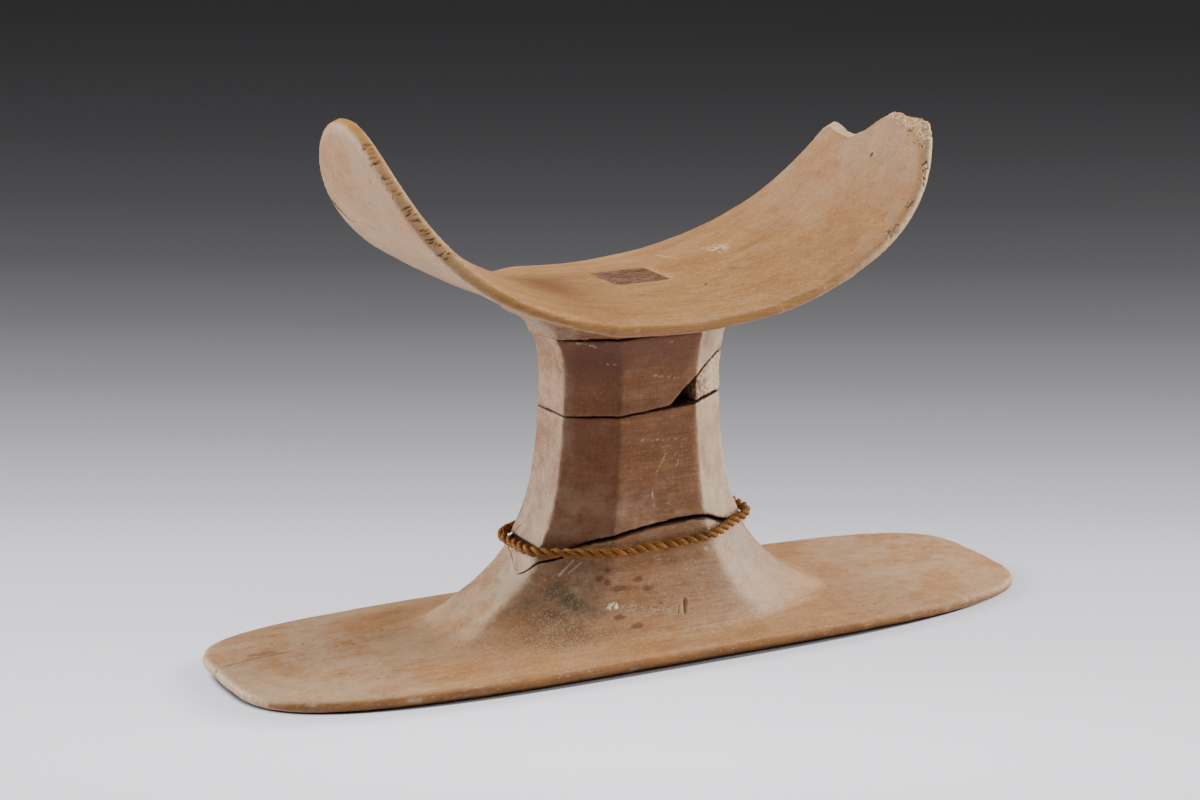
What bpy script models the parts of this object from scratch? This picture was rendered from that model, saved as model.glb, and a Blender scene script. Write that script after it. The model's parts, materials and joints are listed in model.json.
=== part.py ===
"""Carved wooden neck rest: a curved pillow on an eight-sided pillar that flares into a long foot.

It was carved from one block with the grain along X.  The pillar later split along the grain in
three places.  A square peg driven down from the seat and a cord bound round the foot hold the
pieces together.  Metres, +Z up, origin at the middle of the underside; the front looks along -Y.
"""
import math

import bmesh
import bpy

MM = 0.001
GAP = 0.3 * MM                    # clearance that neighbouring pieces keep

# ---- driving dimensions -------------------------------------------------------------------
BASE_HALF_LENGTH = 140 * MM       # along X
BASE_HALF_DEPTH = 43.6 * MM       # along Y
BASE_RIM = 4.0 * MM               # thickness of the base at its edge
PILLOW_HALF_DEPTH = 44.6 * MM     # along Y, at the middle of the seat
PILLOW_ARC = 126 * MM             # from the middle of the seat along the curve to a wing's tip
SEAT_HEIGHT = 110.6 * MM          # front and back edges of the seat, at its lowest
SEAT_CROWN = 4.9 * MM             # how far the middle of the seat stands above those edges
WAIST_HALF_WIDTH = 27.4 * MM      # pillar along X, where it is narrowest
WAIST_HALF_DEPTH = 18.8 * MM      # pillar along Y, where it is narrowest
PEG_WIDTH = 19.0 * MM
PEG_DEPTH = 17.4 * MM
PEG_FOOT = 14.0 * MM              # height of the peg's lower end
CORD_DIAMETER = 3.2 * MM

# ---- how many points each kind of side gets, in every ring round the object -----------------
END_STEPS = 8
CORNER_STEPS = 10
FACE_STEPS = 8


def lerp(a, b, t):
    return a + (b - a) * t


# ---- pillar ---------------------------------------------------------------------------------
FOOT_FLARE_HEIGHT = 17.8 * MM     # where the flares below are measured
HEAD_FLARE_HEIGHT = 103 * MM


def pillar_half_width(z):
    foot = 23.8 * MM * math.exp((FOOT_FLARE_HEIGHT - z) / (18 * MM))
    head = 4.8 * MM * math.exp((z - HEAD_FLARE_HEIGHT) / (6.5 * MM))
    return WAIST_HALF_WIDTH + foot + head


def pillar_half_depth(z):
    foot = 8.5 * MM * math.exp((FOOT_FLARE_HEIGHT - z) / (20 * MM))
    head = 2.4 * MM * math.exp((z - HEAD_FLARE_HEIGHT) / (7 * MM))
    return WAIST_HALF_DEPTH + foot + head


def along_sides(corners, steps):
    """Points along the straight sides between corners, each side in its own number of steps."""
    points = []
    for side, count in enumerate(steps):
        (x0, y0), (x1, y1) = corners[side], corners[(side + 1) % len(corners)]
        for k in range(count):
            points.append((lerp(x0, x1, k / count), lerp(y0, y1, k / count)))
    return points


def octagon(half_x, half_y):
    """The pillar's outline, which has narrow ends, narrow faces and wide corners."""
    end, face = 0.46 * half_y, 0.48 * half_x
    corners = [(half_x, -end), (half_x, end), (face, half_y), (-face, half_y),
               (-half_x, end), (-half_x, -end), (-face, -half_y), (face, -half_y)]
    return along_sides(corners, [END_STEPS, CORNER_STEPS, FACE_STEPS, CORNER_STEPS] * 2)


def rectangle(half_x, half_y):
    """The mortise's outline, with a point for each of the pillar's."""
    x, y = half_x / 2, half_y / 2
    corners = [(half_x, -y), (half_x, y), (half_x, half_y), (x, half_y),
               (-x, half_y), (-half_x, half_y), (-half_x, y),
               (-half_x, -y), (-half_x, -half_y), (-x, -half_y),
               (x, -half_y), (half_x, -half_y)]
    half_corner = CORNER_STEPS // 2
    return along_sides(corners, [END_STEPS, half_corner, half_corner, FACE_STEPS, half_corner, half_corner] * 2)


def mortise():
    return rectangle(PEG_WIDTH / 2 + GAP, PEG_DEPTH / 2 + GAP)


RING_ANGLES = [math.atan2(y, x) for x, y in octagon(1.0, 1.0)]
COUNT = len(RING_ANGLES)


def oval(half_x, half_y, power_left, power_right, power_back_left=None):
    """An outline between an ellipse (power 2) and a rectangle, one power for each end.

    The left end's back corner can have a power of its own.
    """
    points = []
    for angle in RING_ANGLES:
        c, s = math.cos(angle), math.sin(angle)
        power = power_right if c > 0 else power_left
        if c < 0 < s:
            power = power_back_left or power_left
        points.append((half_x * math.copysign(abs(c) ** (2 / power), c),
                       half_y * math.copysign(abs(s) ** (2 / power), s)))
    return points


# ---- the three splits -----------------------------------------------------------------------
def top_split(x, y):
    return 101.2 * MM + 0.02 * x - 0.4 * MM * math.sin(x / (9 * MM))


def middle_split(x, y):
    return 76.4 * MM + 0.03 * x + 0.5 * MM * math.sin(x / (11 * MM)) - 0.03 * y


def lower_split(x, y):
    """Rises along the grain from behind the cord at the left, and dips behind it at the right."""
    from_left = max(0.0, x + 31 * MM)
    rise = 33.2 * MM + 8.0 * MM * (1 - math.exp(-from_left / (17 * MM)))
    right_dip = 6.0 * MM / (1 + math.exp((22 * MM - x) / (2.6 * MM)))
    return rise - right_dip


def ring_on_split(split, raise_by):
    """Where the pillar's wall meets a split: each point is moved up or down until it lies on it."""
    points = []
    for i in range(COUNT):
        z = split(0, 0)
        for _ in range(60):
            x, y = octagon(pillar_half_width(z), pillar_half_depth(z))[i]
            z = lerp(z, split(x, y) + raise_by, 0.3)
        points.append((x, y, z))
    return points


def ring_at(outline, z):
    return [(x, y, z) for x, y in outline]


def rings_between(low, high, count):
    """Rings on the pillar's wall, evenly spaced between two rings that needn't be level."""
    rings = []
    for k in range(1, count + 1):
        ring = []
        for i in range(COUNT):
            z = lerp(low[i][2], high[i][2], k / (count + 1))
            ring.append((*octagon(pillar_half_width(z), pillar_half_depth(z))[i], z))
        rings.append(ring)
    return rings


def split_face(outer, split, raise_by):
    """Rings from the wall in to the mortise, all lying on a split."""
    rings = []
    for t in (0.3, 0.65, 1.0):
        ring = []
        for (x0, y0, _), (x1, y1) in zip(outer, mortise()):
            x, y = lerp(x0, x1, t), lerp(y0, y1, t)
            ring.append((x, y, split(x, y) + raise_by))
        rings.append(ring)
    return rings


# ---- meshes ---------------------------------------------------------------------------------
def material(name, colour, roughness):
    made = bpy.data.materials.new(name)
    made.use_nodes = True
    shader = made.node_tree.nodes["Principled BSDF"]
    shader.inputs["Base Color"].default_value = (*colour, 1)
    shader.inputs["Roughness"].default_value = roughness
    shader.inputs["Metallic"].default_value = 0
    made.diffuse_color = (*colour, 1)
    return made


def add_object(name, bm, finish, sharp_angle=35):
    mesh = bpy.data.meshes.new(name)
    bm.to_mesh(mesh)
    bm.free()
    mesh.materials.append(finish)
    mesh.shade_smooth()
    mesh.set_sharp_from_angle(angle=math.radians(sharp_angle))
    made = bpy.data.objects.new(name, mesh)
    bpy.context.scene.collection.objects.link(made)
    return made


def skin(rings, join_ends):
    """Quads between neighbouring rings; the ends join each other, or each gets a flat cap."""
    bm = bmesh.new()
    loops = [[bm.verts.new(p) for p in ring] for ring in rings]
    pairs = list(zip(loops, loops[1:] + loops[:1])) if join_ends else list(zip(loops, loops[1:]))
    for low, high in pairs:
        for i in range(COUNT):
            j = (i + 1) % COUNT
            bm.faces.new((low[i], low[j], high[j], high[i]))
    if not join_ends:
        bm.faces.new(list(reversed(loops[0])))
        bm.faces.new(loops[-1])
    return bm


def cut(target, cutter, operation):
    cutter.hide_render = True
    cutter.display_type = "WIRE"
    step = target.modifiers.new("cut", "BOOLEAN")
    step.operation = operation
    step.solver = "EXACT"
    step.object = cutter


# ---- base -----------------------------------------------------------------------------------
BASE_EASE = 0.9 * MM              # the rim's edges are rounded off by this much


def make_base(finish):
    rim = oval(BASE_HALF_LENGTH, BASE_HALF_DEPTH, 3.4, 3.9, 4.6)
    eased = oval(BASE_HALF_LENGTH - BASE_EASE, BASE_HALF_DEPTH - BASE_EASE, 3.4, 3.9, 4.6)
    rings = [ring_at(eased, 0), ring_at(rim, BASE_EASE), ring_at(rim, BASE_RIM - BASE_EASE),
             ring_at(eased, BASE_RIM)]
    # the top of the plate rises slowly from the rim, then sweeps up into the eight-sided foot
    for half_x, half_y, z, oval_power in ((118, 40.8, 4.7, 3.0), (95, 38.2, 5.5, 2.6)):
        rings.append(ring_at(oval(half_x * MM, half_y * MM, oval_power, oval_power), z * MM))
    for z, eight_sided in ((6.6, 0.15), (8.6, 0.45), (11.4, 0.75), (15, 0.93), (19, 1)):
        half_x, half_y = pillar_half_width(z * MM), pillar_half_depth(z * MM)
        flat, round_ = octagon(half_x, half_y), oval(half_x, half_y, 2.3, 2.3)
        rings.append([(lerp(a[0], b[0], eight_sided), lerp(a[1], b[1], eight_sided), z * MM)
                      for a, b in zip(round_, flat)])
    top = ring_on_split(lower_split, -0.4 * MM)
    rings += rings_between(rings[-1], top, 3)
    rings.append(top)
    rings += split_face(top, lower_split, -0.4 * MM)
    rings.append(ring_at(mortise(), PEG_FOOT - GAP))
    return add_object("base", skin(rings, join_ends=False), finish)


# ---- pillar blocks --------------------------------------------------------------------------
def make_block(name, low_split, low_raise, high_split, high_raise, wall_rings, finish):
    low, high = ring_on_split(low_split, low_raise), ring_on_split(high_split, high_raise)
    rings = [low] + rings_between(low, high, wall_rings) + [high]
    rings += split_face(high, high_split, high_raise)
    rings += reversed(split_face(low, low_split, low_raise))
    return add_object(name, skin(rings, join_ends=True), finish)


# ---- splinter: the corner of the upper block that broke away --------------------------------
SPLINTER_PATH = [(4.5, 77.6), (9, 82.2), (13.5, 86.2), (19, 88.6), (26, 91.0), (34, 93.0)]


def wedge_cutter(name, inset, start):
    """A wedge under the slanting break, its back running off to the right-hand wall."""
    bm = bmesh.new()
    outline = [(x * MM, z * MM) for x, z in SPLINTER_PATH if x >= start]
    if inset:
        first_z = outline[0][1]
        outline = [(x + inset, z - inset) for x, z in outline]
        outline.insert(0, (outline[0][0] - 0.6 * MM, first_z - 3.2 * MM))
    right = outline[-1][0]
    outline += [(right, 70 * MM), (outline[0][0], 70 * MM)]
    front, back = [], []
    for x, z in outline:
        depth = -16.5 * MM + 0.75 * (x - 4 * MM) - inset
        front.append(bm.verts.new((x, -30 * MM, z)))
        back.append(bm.verts.new((x, depth, z)))
    bm.faces.new(front)
    bm.faces.new(list(reversed(back)))
    for i in range(len(front)):
        j = (i + 1) % len(front)
        bm.faces.new((front[j], front[i], back[i], back[j]))
    bmesh.ops.recalc_face_normals(bm, faces=bm.faces)
    return add_object(name, bm, bpy.data.materials["wood_heart"])


# ---- pillow ---------------------------------------------------------------------------------
CURVE_CENTRE = 205 * MM


def curve_radius(turn):
    """The seat's curve: flattest in the middle, widest near 55 degrees, and tighter at the tips."""
    swell = 9.1 * MM * math.sin(1.65 * turn) ** 2
    right_lift = 1.0 * MM * math.exp(-((turn - math.radians(24)) / math.radians(14)) ** 2)
    return (CURVE_CENTRE - SEAT_HEIGHT) + swell - right_lift


def curve_table(side, steps=240, last_turn=math.radians(80)):
    """Distance along the curve, and the point there, from the middle out to one side."""
    table, length, previous = [], 0.0, None
    for k in range(steps + 1):
        turn = side * last_turn * k / steps
        radius = curve_radius(turn)
        point = (radius * math.sin(turn), CURVE_CENTRE - radius * math.cos(turn))
        if previous:
            length += math.dist(previous, point)
        table.append((length, point))
        previous = point
    return table


CURVES = {-1: curve_table(-1), 1: curve_table(1)}


def seat_edge(arc):
    """Point and outward (downward) normal of the seat's edge curve, at a distance along it."""
    side = -1 if arc < 0 else 1
    table = CURVES[side]
    k = next(n for n in range(1, len(table)) if table[n][0] >= abs(arc))
    (s0, (x0, z0)), (s1, (x1, z1)) = table[k - 1], table[k]
    t = (abs(arc) - s0) / (s1 - s0)
    run = math.hypot(x1 - x0, z1 - z0)
    return (lerp(x0, x1, t), lerp(z0, z1, t)), (side * (z1 - z0) / run, -side * (x1 - x0) / run)


BREAK_ARC = 110.5 * MM            # where the right-hand wing is broken off


def broken_end(y):
    """How far the right-hand wing reaches: further at the front, with a notch behind the middle."""
    notch = 2.8 * MM * math.exp(-((y - 10 * MM) / (6 * MM)) ** 2)
    return BREAK_ARC + 4.0 * MM * math.tanh(-(y + 1 * MM) / (9 * MM)) - notch


def pillow_outline():
    points = []
    for angle in RING_ANGLES:
        c, s = math.cos(angle), math.sin(angle)
        arc = PILLOW_ARC * math.copysign(abs(c) ** (2 / 2.8), c)
        y = PILLOW_HALF_DEPTH * s
        points.append((min(arc, broken_end(y)), y))
    return points


def seat_point(arc, y, below):
    """A point on the seat, or the given distance below it."""
    (x, z), (nx, nz) = seat_edge(arc)
    half = PILLOW_HALF_DEPTH * math.sqrt(max(0, 1 - (abs(arc) / (PILLOW_ARC * 1.12)) ** 2.8))
    fade = 1 - 0.75 * min(1, abs(arc) / PILLOW_ARC) ** 1.2
    crown = SEAT_CROWN * fade * max(0, 1 - (y / half) ** 2)
    return (x + nx * (below - crown), y, z + nz * (below - crown))


def rim_thickness(arc):
    return (2.5 + 2.1 * min(1, abs(arc) / PILLOW_ARC) ** 1.7) * MM


def make_pillow(finish):
    outline = pillow_outline()
    neck_z = 103.2 * MM
    neck = octagon(pillar_half_width(neck_z) * 0.9, pillar_half_depth(neck_z))
    low = ring_on_split(top_split, 0.2 * MM)
    rings = [low]
    # underside, from the neck out to the edge
    for k in (0, 0.03, 0.08, 0.16, 0.29, 0.45, 0.63, 0.82, 0.97):
        ring = []
        for (a0, y0), (a1, y1) in zip(neck, outline):
            spread = k * math.hypot(a1 - a0, y1 - y0)
            below = rim_thickness(a1) + 2.2 * MM * (1 - k ** 2) + 5.4 * MM * math.exp(-spread / (5 * MM))
            arc, y = lerp(a0, a1, k), lerp(y0, y1, k)
            point = seat_point(arc, y, 0)
            nx, nz = seat_edge(arc)[1]
            ring.append((point[0] + nx * below, y, point[2] + nz * below))
        rings.append(ring)
    # rounded edge
    for share, reach in ((0.8, 0.995), (0.5, 1.0), (0.2, 0.995), (0.0, 0.975)):
        rings.append([seat_point(a * reach, y * reach, rim_thickness(a) * share) for a, y in outline])
    # seat, from the edge in to the peg's mortise
    hole = mortise()
    for k in (0.9, 0.76, 0.6, 0.44, 0.28):
        rings.append([seat_point(a * k, y * k, 0) for a, y in outline])
    rings.append([seat_point(lerp(a * 0.2, x, 0.5), lerp(y * 0.3, b, 0.5), 0)
                  for (a, y), (x, b) in zip(outline, hole)])
    rings.append([(x, b, seat_point(x, b, 0)[2]) for x, b in hole])
    rings += reversed(split_face(low, top_split, 0.2 * MM))
    return add_object("pillow", skin(rings, join_ends=True), finish)


# ---- peg ------------------------------------------------------------------------------------
def make_peg(finish):
    bm = bmesh.new()
    bmesh.ops.create_cube(bm, size=1)
    top = SEAT_HEIGHT + SEAT_CROWN - 0.1 * MM
    for vert in bm.verts:
        vert.co.x *= PEG_WIDTH
        vert.co.y *= PEG_DEPTH
        vert.co.z = top if vert.co.z > 0 else PEG_FOOT
    bmesh.ops.bevel(bm, geom=[e for e in bm.edges if e.verts[0].co.z + e.verts[1].co.z < 3 * PEG_FOOT],
                    offset=1.2 * MM, segments=1, affect="EDGES")
    return add_object("repair_peg", bm, finish, sharp_angle=20)


# ---- cord -----------------------------------------------------------------------------------
CORD_HEIGHT = 33.2 * MM
CORD_CLEARANCE = 0.55 * MM        # between the cord and the flats it lies against
KNOT_ANGLE = math.radians(105)    # the knot is tied behind, a little left of the middle
KNOT_HALF_LENGTH = 5.2 * MM


def reach_over_flats(angle, half_x, half_y, outside):
    """Distance from the axis to a line drawn round the eight-sided section, eased at its corners."""
    corners = octagon(half_x, half_y)
    total = 0.0
    for (x0, y0), (x1, y1) in zip(corners, corners[1:] + corners[:1]):
        run = math.hypot(x1 - x0, y1 - y0)
        normal_x, normal_y = (y1 - y0) / run, (x0 - x1) / run
        facing = normal_x * math.cos(angle) + normal_y * math.sin(angle)
        if facing > 0:
            total = max(total, facing / (normal_x * x0 + normal_y * y0 + outside))
    return 1 / total


def cord_centre(angle):
    """The cord lies on the foot, tilted up at the right, and stands off a little at both ends."""
    tilt = 3.2 * MM * max(0, math.cos(angle)) ** 2 - 0.6 * MM * math.sin(angle)
    z = CORD_HEIGHT + tilt
    half_x, half_y = pillar_half_width(z - 1 * MM), pillar_half_depth(z - 1 * MM)
    slack = 1.1 * MM * math.cos(angle) ** 8
    samples = [math.radians(turn) for turn in (-6, -3, 0, 3, 6)]
    outside = CORD_DIAMETER / 2 + CORD_CLEARANCE + slack
    reach = sum(reach_over_flats(angle + turn, half_x, half_y, outside) for turn in samples) / len(samples)
    return (reach * math.cos(angle), reach * math.sin(angle), z)


def make_cord(finish):
    """One loop of cord, from one side of the knot round the foot to the other side."""
    half_gap = (KNOT_HALF_LENGTH + GAP) / (pillar_half_depth(CORD_HEIGHT) + CORD_DIAMETER)
    steps = 64
    curve = bpy.data.curves.new("binding_cord", "CURVE")
    curve.dimensions = "3D"
    curve.bevel_depth = CORD_DIAMETER / 2
    curve.bevel_resolution = 2
    curve.use_fill_caps = True
    spline = curve.splines.new("POLY")
    spline.points.add(steps)
    for k in range(steps + 1):
        angle = KNOT_ANGLE + half_gap + (2 * math.pi - 2 * half_gap) * k / steps
        spline.points[k].co = (*cord_centre(angle), 1)
    curve.materials.append(finish)
    made = bpy.data.objects.new("binding_cord", curve)
    bpy.context.scene.collection.objects.link(made)
    return made


def make_knot(finish):
    """A tight lump between the cord's two ends."""
    bm = bmesh.new()
    bmesh.ops.create_uvsphere(bm, u_segments=16, v_segments=10, radius=1)
    x, y, z = cord_centre(KNOT_ANGLE)
    y += 1.6 * MM
    along = KNOT_ANGLE + math.pi / 2
    for vert in bm.verts:
        reach, out, up = -vert.co.x * KNOT_HALF_LENGTH, vert.co.y * 2.3 * MM, vert.co.z * 3.0 * MM
        vert.co = (x + reach * math.cos(along) + out * math.cos(KNOT_ANGLE),
                   y + reach * math.sin(along) + out * math.sin(KNOT_ANGLE), z + up)
    return add_object("cord_knot", bm, finish)


# ---- the whole rest -------------------------------------------------------------------------
def main():
    for old in list(bpy.data.objects):
        bpy.data.objects.remove(old, do_unlink=True)

    pale_wood = material("wood_pale", (0.50, 0.34, 0.20), 0.55)
    heart_wood = material("wood_heart", (0.40, 0.23, 0.12), 0.6)
    peg_wood = material("wood_peg", (0.28, 0.18, 0.11), 0.65)
    hemp = material("cord_fibre", (0.50, 0.31, 0.13), 0.9)

    make_base(pale_wood)
    make_block("pillar_lower_block", lower_split, 0.4 * MM, middle_split, -0.3 * MM, 8, heart_wood)
    upper = make_block("pillar_upper_block", middle_split, 0.3 * MM, top_split, -0.2 * MM, 6, heart_wood)
    splinter = make_block("pillar_splinter", middle_split, 0.3 * MM, top_split, -0.2 * MM, 6, heart_wood)
    cut(upper, wedge_cutter("splinter_space", 0, 0), "DIFFERENCE")
    cut(splinter, wedge_cutter("splinter_shape", 0.45 * MM, 12), "INTERSECT")
    make_pillow(pale_wood)
    make_peg(peg_wood)
    make_cord(hemp)
    make_knot(hemp)


main()
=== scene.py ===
# %% [markdown]
# # A carved wooden neck rest
# The object is an old neck rest cut from one piece of wood, with its grain along its length: a long
# foot, an eight-sided pillar and a curved pillow.  The pillar has split across three times.  A square
# peg down the middle and a twisted cord round the foot hold it together.
#
# A CAD model of it is already packed, in metres, and this file gives that model its looks.  One way is
# to put materials on the CAD solids and stop there.  But old wood shows its age in its shape: soft
# edges, cracks, worm holes, a broken end.  So most pieces here are carved anew from an even mesh that
# starts as a copy of the CAD solid, which keeps every piece in its place.

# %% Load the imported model
import json
import math
import random

import bmesh
import bpy
import numpy as np
from mathutils import Matrix, Vector, noise
from mathutils.bvhtree import BVHTree

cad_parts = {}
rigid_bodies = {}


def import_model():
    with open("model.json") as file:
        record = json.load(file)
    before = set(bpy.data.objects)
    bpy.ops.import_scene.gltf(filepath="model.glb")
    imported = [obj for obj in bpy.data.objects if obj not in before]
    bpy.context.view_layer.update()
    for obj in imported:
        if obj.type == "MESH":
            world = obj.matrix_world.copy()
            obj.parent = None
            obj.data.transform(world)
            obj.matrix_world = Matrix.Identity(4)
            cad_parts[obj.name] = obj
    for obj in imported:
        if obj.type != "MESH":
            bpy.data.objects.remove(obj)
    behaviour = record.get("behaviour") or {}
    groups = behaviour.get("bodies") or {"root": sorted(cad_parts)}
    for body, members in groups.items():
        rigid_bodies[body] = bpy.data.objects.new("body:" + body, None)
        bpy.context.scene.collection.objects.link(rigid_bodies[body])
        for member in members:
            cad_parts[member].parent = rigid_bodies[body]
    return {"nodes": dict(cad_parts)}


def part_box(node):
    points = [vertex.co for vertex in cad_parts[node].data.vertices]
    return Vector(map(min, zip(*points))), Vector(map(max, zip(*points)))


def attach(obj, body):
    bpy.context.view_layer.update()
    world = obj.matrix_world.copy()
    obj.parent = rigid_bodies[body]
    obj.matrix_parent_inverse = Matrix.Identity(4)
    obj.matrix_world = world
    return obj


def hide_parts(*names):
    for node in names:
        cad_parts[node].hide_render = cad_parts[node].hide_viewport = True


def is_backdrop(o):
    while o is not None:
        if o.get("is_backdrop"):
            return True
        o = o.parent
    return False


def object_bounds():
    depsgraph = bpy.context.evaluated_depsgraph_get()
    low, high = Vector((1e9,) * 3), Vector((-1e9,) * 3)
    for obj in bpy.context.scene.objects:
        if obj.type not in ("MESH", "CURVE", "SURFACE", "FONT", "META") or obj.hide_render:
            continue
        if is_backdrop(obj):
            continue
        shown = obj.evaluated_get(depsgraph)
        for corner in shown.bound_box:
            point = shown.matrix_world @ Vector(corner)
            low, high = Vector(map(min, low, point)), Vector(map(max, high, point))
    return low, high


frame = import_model()
cad_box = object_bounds()
MM = 0.001
print("CAD nodes:", ", ".join(sorted(frame["nodes"])))

# %% [markdown]
# ## Camera
# The camera stands a metre away, to the left of the front and a little above, with a long lens, so
# the shape is hardly widened by perspective.  Its place could be set by hand, but a turn, a pitch and
# a distance round one aim point are easier to read and to change.

# %% The camera
CAMERA_TURN = math.radians(28.2)        # to the left of straight in front
CAMERA_PITCH = math.radians(15.33)      # down from level
CAMERA_ROLL = math.radians(0.56)
CAMERA_DISTANCE = 1.016
SENSOR_WIDTH, LENS_LENGTH = 36, 95.25   # mm
AIM = Vector((-0.00811, 0.00435, 0.0753))
level = Vector((math.cos(CAMERA_TURN), -math.sin(CAMERA_TURN), 0))
towards_camera = Vector((-math.sin(CAMERA_TURN) * math.cos(CAMERA_PITCH),
                         -math.cos(CAMERA_TURN) * math.cos(CAMERA_PITCH),
                         math.sin(CAMERA_PITCH)))
upright = towards_camera.cross(level)
picture_right = level * math.cos(CAMERA_ROLL) + upright * math.sin(CAMERA_ROLL)
picture_up = upright * math.cos(CAMERA_ROLL) - level * math.sin(CAMERA_ROLL)
lens = bpy.data.cameras.new("camera")
lens.sensor_width = SENSOR_WIDTH
lens.lens = LENS_LENGTH
camera = bpy.data.objects.new("camera", lens)
bpy.context.scene.collection.objects.link(camera)
place = Matrix((picture_right, picture_up, towards_camera)).transposed().to_4x4()
place.translation = AIM + towards_camera * CAMERA_DISTANCE
camera.matrix_world = place
bpy.context.scene.camera = camera
print("camera at", [round(value, 3) for value in place.translation])

# %% [markdown]
# ## Floor and light
# The rest stands on pale paper that fades to dark grey behind it.  Paper like that could be lit to
# fade, but a colour that depends on the distance from the rest gives the same fade from every side.
#
# Two large soft lights stand left and right, the left one a little behind, and one hangs above.
# Only a very weak one shines from the front, so the facets that face the camera stay dark and the
# ones at the sides turn pale.  Painted shade and painted sheen on the wood add to both.


# %% Node helpers
def new_material(name):
    """An empty material with its principled shader."""
    made = bpy.data.materials.new(name)
    made.use_nodes = True
    return made, made.node_tree, made.node_tree.nodes["Principled BSDF"]


def plug(tree, socket, value):
    if isinstance(value, bpy.types.NodeSocket):
        tree.links.new(value, socket)
    else:
        socket.default_value = value


def add(tree, kind, inputs=None, **settings):
    """A node with its settings and inputs; an input is a number, a colour or another node's output."""
    made = tree.nodes.new("ShaderNode" + kind)
    for name, value in settings.items():
        setattr(made, name, value)
    for name, value in (inputs or {}).items():
        plug(tree, made.inputs[name], value)
    return made


def mixed(tree, share, low, high, blend="MIX"):
    """Two colours mixed by a share from 0 to 1."""
    made = add(tree, "Mix", data_type="RGBA", blend_type=blend)
    plug(tree, made.inputs[0], share)
    plug(tree, made.inputs[6], low)
    plug(tree, made.inputs[7], high)
    return made.outputs[2]


def sums(tree, operation, first, second=0.5, clamp=False):
    made = add(tree, "Math", operation=operation, use_clamp=clamp)
    plug(tree, made.inputs[0], first)
    plug(tree, made.inputs[1], second)
    return made.outputs[0]


def times(tree, first, second):
    return sums(tree, "MULTIPLY", first, second)


def ranged(tree, value, low, high, to_low=0.0, to_high=1.0):
    """A value between low and high turned into one between to_low and to_high, smoothly."""
    inputs = {"Value": value, "From Min": low, "From Max": high, "To Min": to_low, "To Max": to_high}
    return add(tree, "MapRange", inputs, interpolation_type="SMOOTHSTEP").outputs[0]


def grey_of(tree, value):
    return add(tree, "CombineColor", {"Red": value, "Green": value, "Blue": value}).outputs[0]


def stretched_noise(tree, per_metre, detail=4, roughness=0.6, distortion=0.0):
    """Noise on object coordinates; per_metre is how many bumps there are along each axis."""
    place = add(tree, "TexCoord").outputs["Object"]
    scaled = add(tree, "Mapping", {"Vector": place, "Scale": per_metre}).outputs[0]
    inputs = {"Vector": scaled, "Scale": 1, "Detail": detail, "Roughness": roughness,
              "Distortion": distortion}
    return add(tree, "TexNoise", inputs).outputs["Fac"]


def ramp(tree, value, stops):
    """A colour ramp; stops are (place, colour) pairs."""
    made = add(tree, "ValToRGB", {"Fac": value})
    for _ in stops[2:]:
        made.color_ramp.elements.new(0.5)
    for element, (at, colour) in zip(made.color_ramp.elements, stops):
        element.position = at
        element.color = (*colour, 1)
    return made.outputs["Color"]


print("node helpers ready")

# %% The floor
FLOOR_SIZE = 14
FADE_LENGTH = 1.5                        # from the rest to where the paper is darkest
FADE_START = 0.12                        # the brightest line lies this far in front of the rest
PAPER_GLOW = 1.5
PAPER_TINT = (1.0, 0.975, 1.06)
PAPER_FADE = [(0.0, 1.60), (0.083, 1.12), (0.13, 0.93), (0.17, 0.64), (0.224, 0.40), (0.284, 0.24),
              (0.354, 0.14), (0.435, 0.083), (0.53, 0.057), (0.645, 0.042), (0.785, 0.032), (0.96, 0.025)]
bpy.ops.mesh.primitive_plane_add(size=FLOOR_SIZE)
floor = bpy.context.object
floor.name = "paper_floor"
paper, tree, shader = new_material("paper")
place = add(tree, "TexCoord").outputs["Object"]
before_rest = (-FADE_START * math.sin(CAMERA_TURN), -FADE_START * math.cos(CAMERA_TURN), 0)
turned = add(tree, "Mapping", {"Vector": place, "Rotation": (0, 0, -CAMERA_TURN), "Location": before_rest,
                               "Scale": (3.5, 1, 1)}, vector_type="TEXTURE").outputs[0]
away = add(tree, "VectorMath", {0: turned}, operation="LENGTH").outputs["Value"]
stops = [(at, [tint * glow / PAPER_GLOW for tint in PAPER_TINT]) for at, glow in PAPER_FADE]
fade = ramp(tree, sums(tree, "DIVIDE", away, FADE_LENGTH), stops)
plug(tree, shader.inputs["Base Color"], mixed(tree, 0.85, fade, (0, 0, 0, 1)))
plug(tree, shader.inputs["Emission Color"], fade)


HALF_LENGTH, HALF_DEPTH = 0.140, 0.0446    # of the foot, in metres


def footprint(tree, place, shift):
    """1 on the outline of the foot, less inside it and more outside."""
    moved = add(tree, "VectorMath", {0: place, 1: shift}, operation="ADD").outputs[0]
    parts = add(tree, "SeparateXYZ", {0: moved}).outputs
    along = sums(tree, "POWER", sums(tree, "ABSOLUTE", sums(tree, "DIVIDE", parts["X"], HALF_LENGTH)), 3.2)
    across = sums(tree, "POWER", sums(tree, "ABSOLUTE", sums(tree, "DIVIDE", parts["Y"], HALF_DEPTH)), 3.0)
    return sums(tree, "ADD", along, across)
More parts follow.
